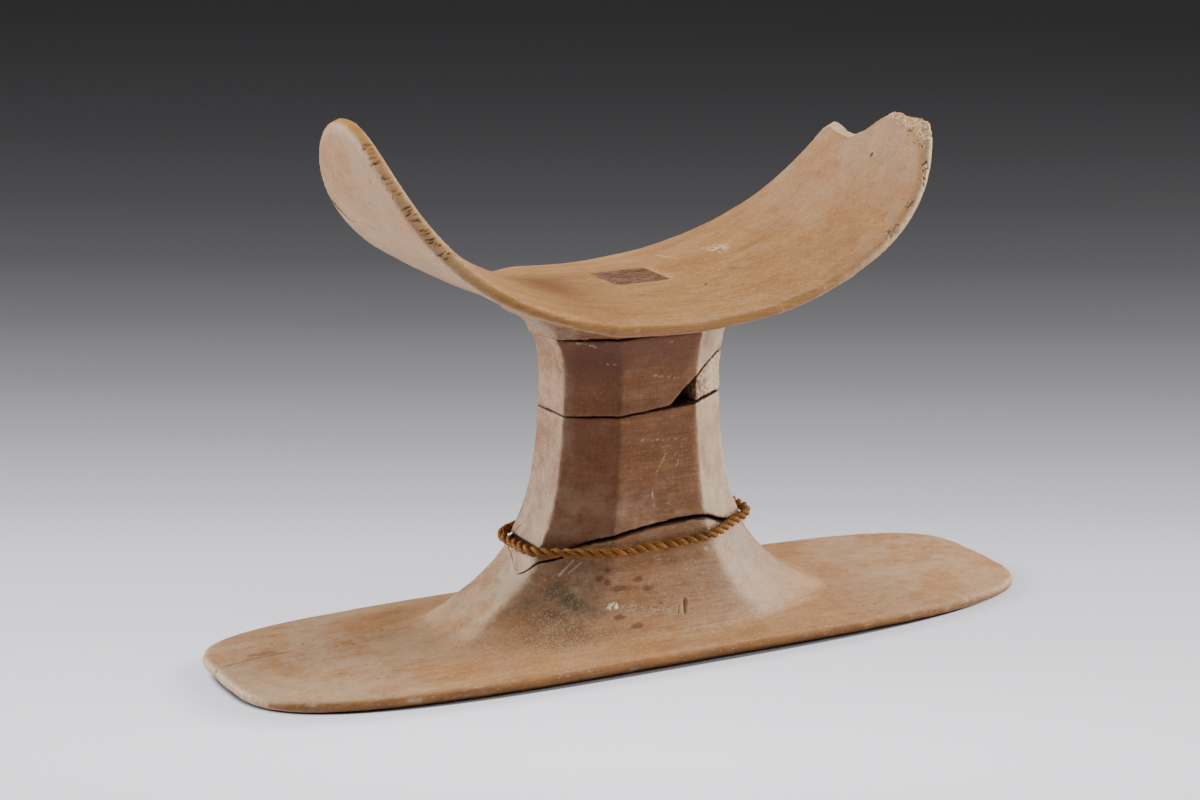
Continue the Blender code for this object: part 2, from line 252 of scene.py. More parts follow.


# painted shadow: the paper's glow is darkened under the foot, where no light reaches, and a little beside its
# left end
under = ranged(tree, footprint(tree, place, (0, 0.0006, 0)), 0.97, 1.04)
painted_shadow_beside_foot = ranged(tree, footprint(tree, place, (0.004, 0.003, 0)), 0.95, 1.5, 0.72, 1.0)
shade = times(tree, under, painted_shadow_beside_foot)
plug(tree, shader.inputs["Emission Strength"], times(tree, shade, PAPER_GLOW))
tooth = stretched_noise(tree, (900, 900, 900))
bump = add(tree, "Bump", {"Height": tooth, "Strength": 0.1, "Distance": 0.0001}).outputs[0]
plug(tree, shader.inputs["Normal"], bump)
shader.inputs["Roughness"].default_value = 0.85
shader.inputs["Specular IOR Level"].default_value = 0.2
floor.data.materials.append(paper)
floor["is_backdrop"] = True
print("floor", FLOOR_SIZE, "m across")


# %% The lights
def soft_light(name, spot, aim, size, watts, colour=(1, 1, 1)):
    lamp = bpy.data.lights.new(name, "AREA")
    lamp.shape = "RECTANGLE"
    lamp.size, lamp.size_y = size
    lamp.energy = watts
    lamp.color = colour
    made = bpy.data.objects.new(name, lamp)
    bpy.context.scene.collection.objects.link(made)
    made.location = spot
    made.rotation_euler = (Vector(spot) - Vector(aim)).to_track_quat("Z", "Y").to_euler()
    return made


soft_light("left_light", (-0.80, 0.60, 0.36), (0, 0, 0.08), (0.6, 0.6), 21)
soft_light("right_light", (0.96, -0.12, 0.30), (0, 0, 0.08), (0.55, 0.6), 18.5, (1, 0.96, 0.90))
soft_light("top_light", (0.12, -0.18, 1.10), (0, 0, 0.1), (0.95, 0.75), 14, (1, 0.95, 0.88))
soft_light("fill_light", (0.2, -1.5, 0.9), (0, 0, 0.08), (0.5, 0.5), 0.8, (1, 0.95, 0.88))
world = bpy.data.worlds.new("room")
world.use_nodes = True
sky = world.node_tree.nodes["Background"].inputs
sky["Color"].default_value = (0.5, 0.52, 0.56, 1)
sky["Strength"].default_value = 0.07
bpy.context.scene.world = world
print("four soft lights")

# %% [markdown]
# ## How a worn piece of wood is made
# Each wooden piece starts as a copy of its CAD solid.  The copy's loose triangles are merged and
# turned back into quads, a subdivision rounds the facets that the CAD curve left, and a voxel remesh
# gives small even faces all over.  Marks are then carved by moving points in along their normals,
# where the mesh has first been subdivided.  Cracks could also be cut with Booleans, but a moved point
# gives the soft, ragged lips of a real crack, and the mesh stays closed.


# %% Helpers: one piece, its points, its even mesh
def only(piece):
    """Leave this piece alone selected, and active."""
    for other in bpy.context.view_layer.objects:
        other.select_set(False)
    piece.select_set(True)
    bpy.context.view_layer.objects.active = piece


def points_of(piece, what="co", items="vertices"):
    """All of a piece's points in millimetres, or their normals, or its faces' centres."""
    rows = getattr(piece.data, items)
    flat = np.empty(len(rows) * 3)
    rows.foreach_get(what, flat)
    return flat.reshape(-1, 3) / (1 if what == "normal" else MM)


def put_points(piece, points):
    piece.data.vertices.foreach_set("co", (points * MM).ravel())
    piece.data.update()


SHARP_TURN = 60                          # degrees: the splits' edges stay sharp, the facets' don't
GENTLE_TURN = 24                         # degrees: the rims' eased edges


def even_copy(node, name, block, smooth=3, crisp=None):
    """A copy of a CAD node with even square faces, `block` millimetres across.

    Between the two heights in `crisp` the gentler edges are creased too, so a thin rim keeps its shape.
    """
    copy = bpy.data.objects.new(name, frame["nodes"][node].data.copy())
    bpy.context.scene.collection.objects.link(copy)
    copy.data.materials.clear()
    only(copy)
    bpy.ops.object.mode_set(mode="EDIT")
    bpy.ops.mesh.select_all(action="SELECT")
    bpy.ops.mesh.remove_doubles(threshold=0.01 * MM)
    bpy.ops.mesh.tris_convert_to_quads(face_threshold=math.radians(50), shape_threshold=math.radians(50))
    bpy.ops.mesh.select_all(action="DESELECT")
    bpy.ops.mesh.edges_select_sharp(sharpness=math.radians(SHARP_TURN))
    bpy.ops.transform.edge_crease(value=1)
    if crisp:
        bpy.ops.mesh.select_all(action="DESELECT")
        bpy.ops.mesh.edges_select_sharp(sharpness=math.radians(GENTLE_TURN))
        bm = bmesh.from_edit_mesh(copy.data)
        for edge in bm.edges:
            if not all(crisp[0] < vert.co.z / MM < crisp[1] for vert in edge.verts):
                edge.select_set(False)
        bmesh.update_edit_mesh(copy.data)
        bpy.ops.transform.edge_crease(value=1)
    bpy.ops.object.mode_set(mode="OBJECT")
    rounder = copy.modifiers.new("rounder", "SUBSURF")
    rounder.levels = rounder.render_levels = 2
    even = copy.modifiers.new("even", "REMESH")
    even.mode = "VOXEL"
    even.voxel_size = block * MM
    for modifier in (rounder, even):
        bpy.ops.object.modifier_apply(modifier=modifier.name)
    bpy.ops.object.mode_set(mode="EDIT")
    bpy.ops.mesh.select_all(action="SELECT")
    bpy.ops.mesh.vertices_smooth(factor=0.5, repeat=smooth)
    bpy.ops.object.mode_set(mode="OBJECT")
    for layer in list(copy.data.attributes):
        if not layer.is_required and not layer.is_internal:
            copy.data.attributes.remove(layer)
    return copy


print("helpers for pieces ready")


# %% Helpers: noise, nearness and carving
def ripple(points, size, octaves=3, shift=0.0):
    """Smooth random values from about -1 to 1; size is the bumps' length along x, y and z, in mm."""
    scaled = points / np.array(size, float) + shift
    return np.array([noise.fractal(Vector(row), 1.0, 2.0, octaves) for row in scaled])


def eased(values, low, high):
    """0 below low, 1 above high, smooth between."""
    t = np.clip((values - low) / (high - low), 0, 1)
    return t * t * (3 - 2 * t)


def beside(points, path):
    """Distance from each point to a bent line, with the line's width and depth at the nearest place."""
    gap = np.full(len(points), 1e9)
    wide, deep = np.zeros(len(points)), np.zeros(len(points))
    for start, end in zip(path, path[1:]):
        start, end = np.array(start, float), np.array(end, float)
        run = end[:3] - start[:3]
        share = np.clip((points - start[:3]) @ run / max(run @ run, 1e-9), 0, 1)
        here = np.linalg.norm(points - start[:3] - share[:, None] * run, axis=1)
        closer = here < gap
        gap[closer] = here[closer]
        wide[closer] = (start[3] + share * (end[3] - start[3]))[closer]
        deep[closer] = (start[4] + share * (end[4] - start[4]))[closer]
    return gap, wide, deep


def snapped(piece, paths):
    """The same paths with every point moved onto the piece's surface."""
    mesh = piece.data
    tree = BVHTree.FromPolygons([vert.co / MM for vert in mesh.vertices],
                                [tuple(face.vertices) for face in mesh.polygons])
    return [[(*tree.find_nearest(Vector(row[:3]))[0], row[3], row[4]) for row in path] for path in paths]


def refine_near(piece, near, times=1):
    """Subdivide the faces that near(centres) picks out, so that fine marks have points to move."""
    for _ in range(times):
        picked = np.nonzero(near(points_of(piece, "center", "polygons")))[0]
        only(piece)
        bpy.ops.object.mode_set(mode="EDIT")
        bpy.ops.mesh.select_mode(type="FACE")
        bpy.ops.mesh.select_all(action="DESELECT")
        bm = bmesh.from_edit_mesh(piece.data)
        bm.faces.ensure_lookup_table()
        for index in picked:
            bm.faces[index].select_set(True)
        bmesh.update_edit_mesh(piece.data)
        bpy.ops.mesh.subdivide(number_cuts=1)
        bpy.ops.object.mode_set(mode="OBJECT")


def near_paths(paths, reach):
    def near(points):
        low = np.min([np.min(np.array(path)[:, :3], axis=0) for path in paths], axis=0) - reach
        high = np.max([np.max(np.array(path)[:, :3], axis=0) for path in paths], axis=0) + reach
        close = np.all((points > low) & (points < high), axis=1)
        found = np.zeros(len(points), bool)
        index = np.nonzero(close)[0]
        for path in paths:
            gap, wide, _ = beside(points[index], path)
            found[index] |= gap < wide + reach
        return found
    return near


def carve(points, normals, paths, sharp=1.0):
    """Push points in along grooves.  Returns the moved points and how deep in a groove each one is."""
    sunk = np.zeros(len(points))
    share = np.zeros(len(points))
    for path in paths:
        gap, wide, deep = beside(points, path)
        profile = np.clip(1 - gap / np.maximum(wide, 1e-6), 0, 1) ** sharp
        sunk = np.maximum(sunk, profile * deep)
        share = np.maximum(share, profile * (deep > 0))
    return points - normals * sunk[:, None], share


def paint(piece, name, values):
    """Store how strongly a finish shows at each point, from 0 to 1, for the material to read."""
    layer = piece.data.attributes.get(name) or piece.data.attributes.new(name, "FLOAT", "POINT")
    layer.data.foreach_set("value", np.clip(values, 0, 1).astype(np.float32))


def leave_plain(piece, *names):
    """Store that these finishes show nowhere on the piece."""
    for name in names:
        paint(piece, name, np.zeros(len(piece.data.vertices)))


def gouges(draw, start, end, count, scatter, way, length, wide, deep):
    """Short worm-eaten grooves strewn along a line, each one roughly in the direction `way`."""
    found = []
    for _ in range(count):
        middle = Vector(start).lerp(Vector(end), draw.random())
        middle += Vector([draw.uniform(-scatter, scatter) for _ in range(3)])
        lean = Vector(way) + Vector([draw.uniform(-0.3, 0.3) for _ in range(3)])
        half = lean.normalized() * length * draw.uniform(0.35, 0.6)
        w, d = wide * draw.uniform(0.7, 1.3), deep * draw.uniform(0.6, 1.2)
        found.append([(*(middle - half), w * 0.5, d * 0.5), (*middle, w, d),
                      (*(middle + half), w * 0.4, d * 0.3)])
    return found


def finish_piece(piece, finish, slot, *nodes):
    """Smooth shading, the material, and the calls that tie the piece to the frame."""
    piece.data.materials.clear()
    piece.data.materials.append(finish)
    only(piece)
    bpy.ops.object.shade_smooth()
    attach(piece, "root")
    if nodes:
        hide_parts(*nodes)
    faces = sum(len(face.vertices) - 2 for face in piece.data.polygons)
    print(piece.name, faces, "triangles")


print("helpers for carving ready")

# %% [markdown]
# ## Old wood
# The wood's grain runs along the rest's length, so one solid pattern in object coordinates, drawn out
# along X, gives long lines on the sides and dots and rings on the ends, as in real wood.  An image of
# wood would need unwrapping and would show seams.
#
# On top of the grain come marks that have a place: cracks, chips, an ochre rim, stains, mould, and
# painted shade, painted sheen and painted highlights.
# Those are painted on the mesh's points as each piece is carved, and the material reads them.


# %% The wood material
def painted(tree, name):
    return add(tree, "Attribute", attribute_name=name).outputs["Fac"]


HEART = [(0.34, (0.115, 0.036, 0.007)), (0.5, (0.195, 0.070, 0.015)), (0.66, (0.30, 0.125, 0.032))]


def old_wood(name, deep, middle, pale, grey, roughness=0.5, tooling=1.0, flecked=0.3):
    """Dry old wood: deep, middle and pale are the grain's tones, grey is its worn bloom and its painted
    sheen.
    """
    made, tree, shader = new_material(name)
    bands = stretched_noise(tree, (7, 110, 130), 3, 0.55, 0.6)
    lines = stretched_noise(tree, (26, 900, 900), 5, 0.7)
    hairs = stretched_noise(tree, (90, 3600, 3600), 3, 0.7)
    clouds = stretched_noise(tree, (34, 40, 40), 4, 0.6)
    fine = stretched_noise(tree, (700, 1500, 1500), 3, 0.65)
    scrapes = stretched_noise(tree, (1900, 1900, 210), 2, 0.6)
    mottle = stretched_noise(tree, (210, 260, 260), 5, 0.7)
    tone = sums(tree, "ADD", times(tree, bands, 0.34), times(tree, lines, 0.38))
    tone = sums(tree, "ADD", tone, times(tree, mottle, 0.28))
    colour = ramp(tree, tone, [(0.34, deep), (0.5, middle), (0.66, pale)])
    colour = mixed(tree, painted(tree, "heart"), colour, ramp(tree, tone, HEART))
    darker = ranged(tree, hairs, 0.36, 0.52, 0.62, 1.0)
    darker = times(tree, darker, ranged(tree, scrapes, 0.35, 0.6, 0.86, 1.06))
    colour = mixed(tree, 0.75, colour, grey_of(tree, darker), "MULTIPLY")
    # a grey, uneven bloom of wear and dust, and the painted sheen of the lit sides, with flecks
    patches = sums(tree, "ADD", times(tree, clouds, 0.6), times(tree, mottle, 0.4))
    bloom = times(tree, ranged(tree, patches, 0.40, 0.60), painted(tree, "dust_and_sheen"))
    bloom = sums(tree, "ADD", bloom, times(tree, painted(tree, "dust_and_sheen"), 0.35), clamp=True)
    colour = mixed(tree, times(tree, bloom, 0.5), colour, (*grey, 1))
    flecks = ranged(tree, fine, 0.56, 0.70, 0, flecked)
    colour = mixed(tree, flecks, colour, (0.62, 0.52, 0.40, 1))
    specks = ranged(tree, fine, 0.30, 0.40, 0.5, 0)
    colour = mixed(tree, specks, colour, (0.09, 0.055, 0.035, 1))
    # the places painted on the points
    ochre = mixed(tree, lines, (0.22, 0.090, 0.016, 1), (0.50, 0.26, 0.065, 1))
    colour = mixed(tree, painted(tree, "ochre"), colour, ochre)
    # stain_and_shade: real stains, and painted shade where a piece marks it
    colour = mixed(tree, times(tree, painted(tree, "stain_and_shade"), 0.8), colour, (0.10, 0.028, 0.012, 1))
    mould = painted(tree, "mould")
    blot = times(tree, mould, ranged(tree, clouds, 0.3, 0.6, 0.5, 1.0))
    colour = mixed(tree, times(tree, blot, 0.85), colour, (0.050, 0.043, 0.026, 1))
    grains = ranged(tree, stretched_noise(tree, (1500, 1500, 1500), 3, 0.7), 0.53, 0.60)
    grains = times(tree, grains, painted(tree, "grainy"))
    colour = mixed(tree, times(tree, grains, 0.75), colour, (0.42, 0.37, 0.25, 1))
    # chip_and_highlight: pale chips, scrapes and plaster, and painted highlights where a piece marks them
    chip_and_highlight = times(tree, painted(tree, "chip_and_highlight"), ranged(tree, fine, 0.3, 0.5, 0.75, 1.0))
    colour = mixed(tree, chip_and_highlight, colour, (0.80, 0.66, 0.46, 1))
    torn = mixed(tree, lines, (0.012, 0.005, 0.003, 1), (0.11, 0.035, 0.012, 1))
    colour = mixed(tree, painted(tree, "crack"), colour, torn)
    plug(tree, shader.inputs["Base Color"], colour)
    # worn places shine a little, marks are dull
    worn = ranged(tree, clouds, 0.3, 0.7, roughness - 0.07, roughness + 0.10)
    dull = sums(tree, "MAXIMUM", painted(tree, "crack"), painted(tree, "chip_and_highlight"))
    dull = sums(tree, "MAXIMUM", dull, painted(tree, "mould"))
    rough = sums(tree, "ADD", worn, times(tree, dull, 0.3), clamp=True)
    plug(tree, shader.inputs["Roughness"], rough)
    shader.inputs["Specular IOR Level"].default_value = 0.3
    relief = {"Height": lines, "Strength": 0.5 * tooling, "Distance": 0.25 * MM}
    bumped = add(tree, "Bump", relief).outputs[0]
    for height, strength, tall in ((scrapes, 0.4 * tooling, 0.18), (fine, 0.45, 0.15), (hairs, 0.25, 0.08)):
        relief = {"Height": height, "Strength": strength, "Distance": tall * MM, "Normal": bumped}
        bumped = add(tree, "Bump", relief).outputs[0]
    plug(tree, shader.inputs["Normal"], bumped)
    return made


pale_wood = old_wood("pale_wood", (0.28, 0.128, 0.040), (0.41, 0.205, 0.074), (0.54, 0.30, 0.128),
                     (0.35, 0.27, 0.185), 0.50)
foot_wood = old_wood("foot_wood", (0.29, 0.125, 0.040), (0.41, 0.195, 0.070), (0.53, 0.29, 0.125),
                     (0.47, 0.385, 0.285), 0.52)
heart_wood = old_wood("heart_wood", *[tone for _, tone in HEART], (0.40, 0.29, 0.19), 0.47, 1.2, 0.16)
print("wood finishes ready")

# %% [markdown]
# ## The three splits
# The pillar split clean through along the grain, at three heights.  Each split is a hairline at one
# corner and gapes at another, with torn brown fibres in it.  The pieces are separate, so the splits
# are real gaps; each piece only needs its lips opened, closed or frayed.
#
# The heights of the splits are the CAD model's own: each is a gently bent sheet across the pillar.


# %% Split heights and how far each one gapes, in mm
def top_split(x, y):
    return 101.2 + 0.02 * x - 0.4 * np.sin(x / 9)


def middle_split(x, y):
    return 76.4 + 0.03 * x + 0.5 * np.sin(x / 11) - 0.03 * y


def lower_split(x, y):
    lift = 8 * (1 - np.exp(-np.maximum(0, x + 31) / 17))
    return 33.2 + lift - 6 / (1 + np.exp(np.clip((22 - x) / 2.6, -50, 50)))


def top_gape(x):
    return -0.20 + 0.21 * eased(x, -31, -27) * (1 - eased(x, -13, -5))


def middle_gape(x):
    return -0.26 + 0.22 * eased(x, -30, -22) + 0.30 * eased(x, -4, 8) - 0.15 * eased(x, 22, 28)


def lower_gape(x):
    return -0.36 + 0.50 * eased(x, -30, -18) + 0.14 * eased(x, -10, 12) - 0.30 * eased(x, 25, 32)


def part_lips(points, normals, split, gape, side, tuck=0.3, frayed=0.22):
    """Move the lip of a split: side is 1 for the piece above it, -1 for the piece below.

    Smoothing has rounded the lip's corner; where the split is closed, `tuck` brings it back.
    """
    x, y, z = points.T
    away = (z - split(x, y)) * side
    held = np.exp(-(away / 0.9) ** 2) * (away > -1.5)
    ragged = ripple(points * (1, 1, 0), (2.6, 1.4, 1), 3, 3.0 * side)
    fibres = ripple(points * (1, 1, 0), (9, 0.7, 1), 2, 11.0 * side)
    open_share = eased(gape(x), -0.15, 0.1)
    corner = eased(np.abs(normals[:, 2]), 0.08, 0.4) * (1 - eased(np.abs(normals[:, 2]), 0.90, 0.98))
    shift = gape(x) + open_share * (frayed * ragged + 0.16 * fibres) - tuck * corner * (1 - 0.5 * open_share)
    points[:, 2] = z + side * held * shift
    return held * open_share


print("split heights at the middle:", top_split(0, 0), middle_split(0, 0), lower_split(0, 0))


# %% [markdown]
# ## The pillow
# The pillow carries the neck.  Its rim is worn round and shows ochre end grain, beetles have eaten
# short grooves along it, and the right-hand wing has lost its tip: the broken end is crumbly in
# front and has a smooth hollow behind.  The seat has a bruise, a few cuts and scratches.
#
# Every mark is a path with a width and a depth, laid roughly in place and then snapped to the
# surface, so no mark floats or cuts too deep.

# %% Pillow: warped by age
NECK_FLARE = 0.048                       # mm per square mm of height: the left side spreads under the seat
PEG_SHIFT = (2.2, 3.6)                   # mm: the peg was driven in askew, to the right and to the back


def flared(points):
    """Move the pillar's left side out where it spreads into the seat."""
    x, y, z = points.T
    rise = np.minimum(NECK_FLARE * np.clip(z - 97, 0, None) ** 2, 4.5)
    points[:, 0] -= rise * eased(-x, 17, 29) * (1 - eased(-x, 38, 52)) * (1 - eased(z, 107.5, 110.5))


def leaned(points):
    """Move the top of the peg, and its hole, to where the peg leans."""
    x, y, z = points.T
    share = (1 - eased(np.abs(x), 10, 30)) * (1 - eased(np.abs(y), 11, 33)) * eased(z, 102, 111)
    points[:, 0] += PEG_SHIFT[0] * share
    points[:, 1] += PEG_SHIFT[1] * share


pillow = even_copy("pillow", "carved_pillow", 0.88, crisp=(105.5, 200))
points = points_of(pillow)
x, y, z = points.T.copy()
reach = np.hypot(x, z - 205)
out_x, out_z = x / reach, (z - 205) / reach            # away from the neck
normals = points_of(pillow, "normal")
outer = eased(normals[:, 0] * out_x + normals[:, 2] * out_z, -0.3, 0.3)
left = eased(-x, 35, 75) * (0.9 * outer - 0.1 + 1.2 * eased(y, -15, 30) * (1 - 0.65 * eased(z, 148, 168)))
left += 2.6 * eased(y, -12, 24) * eased(-x, 18, 34) * (1 - eased(-x, 42, 66))
right = 2.6 * eased(x, 52, 84) * eased(-y, -12, 30)
front_lip = eased(-normals[:, 2], -0.5, 0.4) * eased(-y, 22, 40)
drop = 1.5 * front_lip * eased(x, -54, -22) * (1 - 0.7 * eased(x, 30, 70))
points[:, 2] -= drop * (z > 105)
points[:, 0] += left * out_x + right
points[:, 2] += left * out_z + 0.8 * eased(-x, 85, 96)
at_end = eased(x, 84, 90)
lift = (2.2 * np.exp(-((y + 5) / 5.5) ** 2) - 1.8 * eased(-y, 17, 34) + 0.9 * np.exp(-((y - 10) / 5) ** 2)
        + 0.5 * eased(y, 14, 24))
points[:, 0] += 0.3 * lift * at_end
points[:, 2] += 0.95 * lift * at_end
flared(points)
leaned(points)
put_points(pillow, points)
print("the wings moved by up to", round(float(max(left.max(), right.max())), 1), "mm")

# %% Pillow: its marks as paths
draw = random.Random(7)
# each row: the ends of a worm-eaten stretch of rim, and how many grooves are in it
LEFT_RIM = [((-97.0, -14.5, 168.5), (-95.0, -16.0, 166.5), 5),
            ((-97.0, -17.5, 165.5), (-95.5, -19.5, 163), 4),
            ((-94.5, -21.5, 160.5), (-92.3, -26.0, 154.5), 9),
            ((-91.0, -28.6, 151.5), (-87.6, -31.2, 147.0), 9),
            ((-87.4, -31.8, 145.3), (-83.8, -34.2, 141.3), 8),
            ((-83.2, -34.2, 139.0), (-79.8, -35.9, 137.3), 6)]
RIGHT_RIM = [((88.0, -32.4, 144.6), (91.2, -30.6, 151.0), 17),
             ((80.3, -36.2, 137.6), (83.0, -35.0, 140.8), 8),
             ((71.4, -39.1, 129.8), (74.8, -38.0, 131.9), 9)]
# each path below is a row of points: x, y, z, half its width and its depth there
worm_marks = []
for start, end, count in LEFT_RIM:
    worm_marks += gouges(draw, start, end, count, 1.1, (0.92, -0.1, 0.32), 2.4, 0.42, 0.65)
for start, end, count in RIGHT_RIM:
    worm_marks += gouges(draw, start, end, count, 1.2, (0.32, -0.45, 0.84), 2.6, 0.42, 0.9)
worm_marks += gouges(draw, (91.0, -17, 160), (89.6, -26, 155.8), 14, 1.3, (0.2, -0.5, 0.8), 1.0, 0.5, 0.8)
cuts = [[(84.2, -6.4, 149.0, 0.3, 0.3), (84.6, -6.4, 149.7, 0.6, 1.0), (85.0, -6.4, 150.4, 0.3, 0.3)],
        [(29.3, -11.1, 118.0, 0.25, 0.3), (31, -12.7, 118.2, 0.5, 0.7), (32.5, -14.3, 118.4, 0.25, 0.3)],
        [(36.0, 11.0, 119.3, 0.3, 0.3), (36.8, 8.6, 119.7, 0.7, 0.9), (38.2, 7.2, 120.1, 0.3, 0.3)],
        [(17.5, -17.4, 115.7, 0.6, 0.4), (18.0, -17.0, 115.7, 0.5, 0.3)],
        [(-94.9, -12.2, 157.4, 0.35, 0.5), (-94.6, -12.6, 156.5, 0.35, 0.5)],
        [(-90.0, -1.6, 148.3, 0.45, 0.4), (-89.7, -2.0, 147.9, 0.45, 0.4)]]
wing_crack = [[(-90.6, 31.8, 145.6, 0.60, 1.6), (-88.4, 30.3, 142.0, 0.85, 2.2),
               (-86.5, 30.1, 139.4, 0.80, 2.2), (-84.2, 28.4, 136.7, 0.55, 1.6),
               (-82.8, 24.7, 135.5, 0.25, 0.5)]]
scratches = [[(34.5, 15.2, 118.8, 0.5, 0.12), (36.0, 12.1, 119.4, 0.5, 0.15), (39.2, 6.6, 120.4, 0.4, 0.1)],
             [(22.8, 23.7, 115.9, 0.5, 0.1), (23.2, 17.0, 116.5, 0.6, 0.12), (24.4, 11.2, 117.1, 0.5, 0.1)],
             [(-75.6, 29.9, 130.6, 0.5, 0.15), (-72.3, 28.4, 128.3, 0.35, 0.05)],
             [(-16.3, -41.3, 112.4, 0.4, 0.1), (-13.1, -41.8, 112.2, 0.5, 0.1)],
             [(-22.4, -44.2, 111.2, 0.6, 0.3), (-20.3, -44.3, 110.8, 0.5, 0.3)]]
faint_line = [[(-3.7, -15.1, 115.0, 0.35, 0.1), (1.2, -17.3, 114.8, 0.4, 0.12),
               (6.6, -20.3, 114.7, 0.4, 0.14), (11.1, -25.1, 114.5, 0.4, 0.14),
               (15.3, -29.1, 114.3, 0.3, 0.05)]]
notch_edge = [[(89.2, 29.5, 154.0, 1.6, 0.4), (90.2, 24.5, 156.0, 3.6, 1.5), (89.8, 18.0, 155.6, 4.2, 2.0),
               (89.6, 11.0, 155.0, 4.0, 1.9), (89.8, 6.5, 156.0, 2.6, 1.0), (91.0, 2.5, 158.5, 1.0, 0.2)]]
worm_marks, cuts, wing_crack, scratches = (snapped(pillow, group) for group in
                                           (worm_marks, cuts, wing_crack, scratches))
faint_line, notch_edge = snapped(pillow, faint_line), snapped(pillow, notch_edge)
print(len(worm_marks), "worm grooves")

# %% Pillow: carve and paint
refine_near(pillow, lambda centres: centres[:, 0] > 86.5)
refine_near(pillow, near_paths(worm_marks + cuts + wing_crack, 0.7))
refine_near(pillow, near_paths(wing_crack + cuts, 0.3))
points, normals = points_of(pillow), points_of(pillow, "normal")
worn_away = 0.12 * ripple(points, (28, 22, 22), 2) + 0.05 * ripple(points, (7, 3, 3), 3)
points = points + normals * worn_away[:, None]
x, y, z = points.T
# the broken end: torn along its edge, crumbly in front
end_height = 158.5 + 3.5 * np.exp(-((y + 7) / 9) ** 2) - 3.0 * eased(-y, 18, 33)
torn = eased(z, end_height - 1.5, end_height - 0.3) * (x > 80) * eased(-y, -4, 1)
crumble = ripple(points, (1.1, 0.8, 0.8), 4)
points = points - normals * (torn * (0.15 + 0.45 * crumble))[:, None]
points, bevel = carve(points, normals, notch_edge, 0.7)
points, eaten = carve(points, normals, worm_marks, 0.8)
points, cut_in = carve(points, normals, cuts, 0.8)
points, cracked = carve(points, normals, wing_crack, 0.7)
points, scraped = carve(points, normals, scratches, 1.0)
points, lined = carve(points, normals, faint_line, 1.0)
lips = part_lips(points, normals, top_split, top_gape, 1, 0.5) * (z < 103)
put_points(pillow, points)

normals = points_of(pillow, "normal")
uneven = 0.5 + 0.5 * ripple(points, (6, 2.5, 2.5), 3)
across = np.hypot(x, z - 205)
facing = (normals[:, 0] * x + normals[:, 2] * (z - 205)) / across
side_wall = eased(1 - np.abs(facing), 0.30, 0.62) * eased(z, 106, 111)
left_rim = side_wall * eased(-x, -60, -35)
inner_line = [[(91.0, -13.0, 160.3, 1.3, 0), (90.6, -20.6, 158.8, 1.4, 0), (89.3, -27.6, 152.9, 1.3, 0),
               (87.0, -31.2, 146.5, 1.2, 0), (79.8, -35.4, 137.3, 1.2, 0), (70.2, -38.9, 129.2, 1.2, 0),
               (60.1, -40.9, 123.8, 1.3, 0), (48.0, -42.3, 118.8, 1.3, 0)]]
gap, wide, _ = beside(points, snapped(pillow, inner_line)[0])
seat_line = np.clip(1.2 - gap / wide, 0, 1)
crumbs = torn * eased(crumble, -0.2, 0.35)
rims = np.maximum(left_rim * (0.6 + 0.4 * uneven), 0.75 * seat_line * (0.5 + 0.5 * uneven))
paint(pillow, "ochre", rims * (1 - 0.8 * bevel) + 0.7 * torn * (1 - eased(crumble, -0.3, 0.1)))
bruise = np.exp(-((x - 37) ** 2 / 6 + (y - 8) ** 2 / 16)) * eased(ripple(points, (1.5, 1, 1), 3), -0.1, 0.3)
# painted highlight: the rim of the right wing is painted pale cream, where the right light catches it
painted_right_rim_highlight = side_wall * eased(x, 48, 70)
pale_rim = 0.34 * left_rim * eased(-x, 60, 88) * eased(-normals[:, 2], -0.9, 0.1)
pale_rim *= 1 - eased(eaten, 0.2, 0.6)
fringe = np.clip(eaten * 3, 0, 1) * (1 - eased(eaten, 0.25, 0.6))
paint(pillow, "chip_and_highlight", np.max([0.45 * crumbs, 0.35 * eased(bevel, 0.05, 0.4), 0.85 * bruise * (z > 112),
                              0.6 * scraped * uneven, 0.16 * painted_right_rim_highlight, 0.5 * fringe * (x > 0),
                              pale_rim], axis=0))
inside = lips * eased(-normals[:, 2], 0.5, 0.8)
paint(pillow, "crack", np.max([0.6 * eased(eaten, 0.45, 0.9), eased(cut_in, 0.3, 0.6),
                               eased(cracked, 0.04, 0.2), inside], axis=0))
# painted shade on the seat left of the middle, where the left wing keeps off the left light
painted_seat_shade = 0.75 * np.exp(-(((x + 33) / 13) ** 2 + ((y + 2) / 26) ** 2)) * (facing < 0)
# darker on the right half of the seat, and high up on the left wing's outer face
darker_areas = np.maximum((0.21 * eased(x, 12, 34) + 0.14 * eased(x, 40, 70)) * (facing < -0.3),
                    0.20 * eased(z, 132, 150) * (x < 0) * eased(facing, 0.2, 0.5))
rim_shade = 0.55 * side_wall * eased(-normals[:, 2], -0.35, 0.5) * (1 - painted_right_rim_highlight) * (0.6 + 0.5 * uneven)
paint(pillow, "stain_and_shade", np.max([0.35 * eased(lined, 0.1, 0.6), 0.5 * eased(cracked, 0.02, 0.2),
                               0.35 * eased(eaten, 0.1, 0.5), painted_seat_shade, darker_areas, rim_shade], axis=0))
# dust and painted light: greyer towards the wing tips, and paler on faces that turn down, where the side
# lights fall; less on the left rim and on the stub below the seat
outer = eased(-normals[:, 2], -0.1, 0.3)
stub = (1 - eased(z, 104, 110)) * (x > -26)
paint(pillow, "dust_and_sheen", np.clip(0.2 + 0.6 * eased(np.abs(x), 35, 95) + 0.6 * outer, 0, 1)
      * (1 - left_rim) * (1 - 0.65 * stub))
paint(pillow, "heart", (1 - eased(z, 106, 112)) * eased(-normals[:, 2], -0.6, -0.1))
leave_plain(pillow, "mould", "grainy")
finish_piece(pillow, pale_wood, "wood_pale", "pillow")
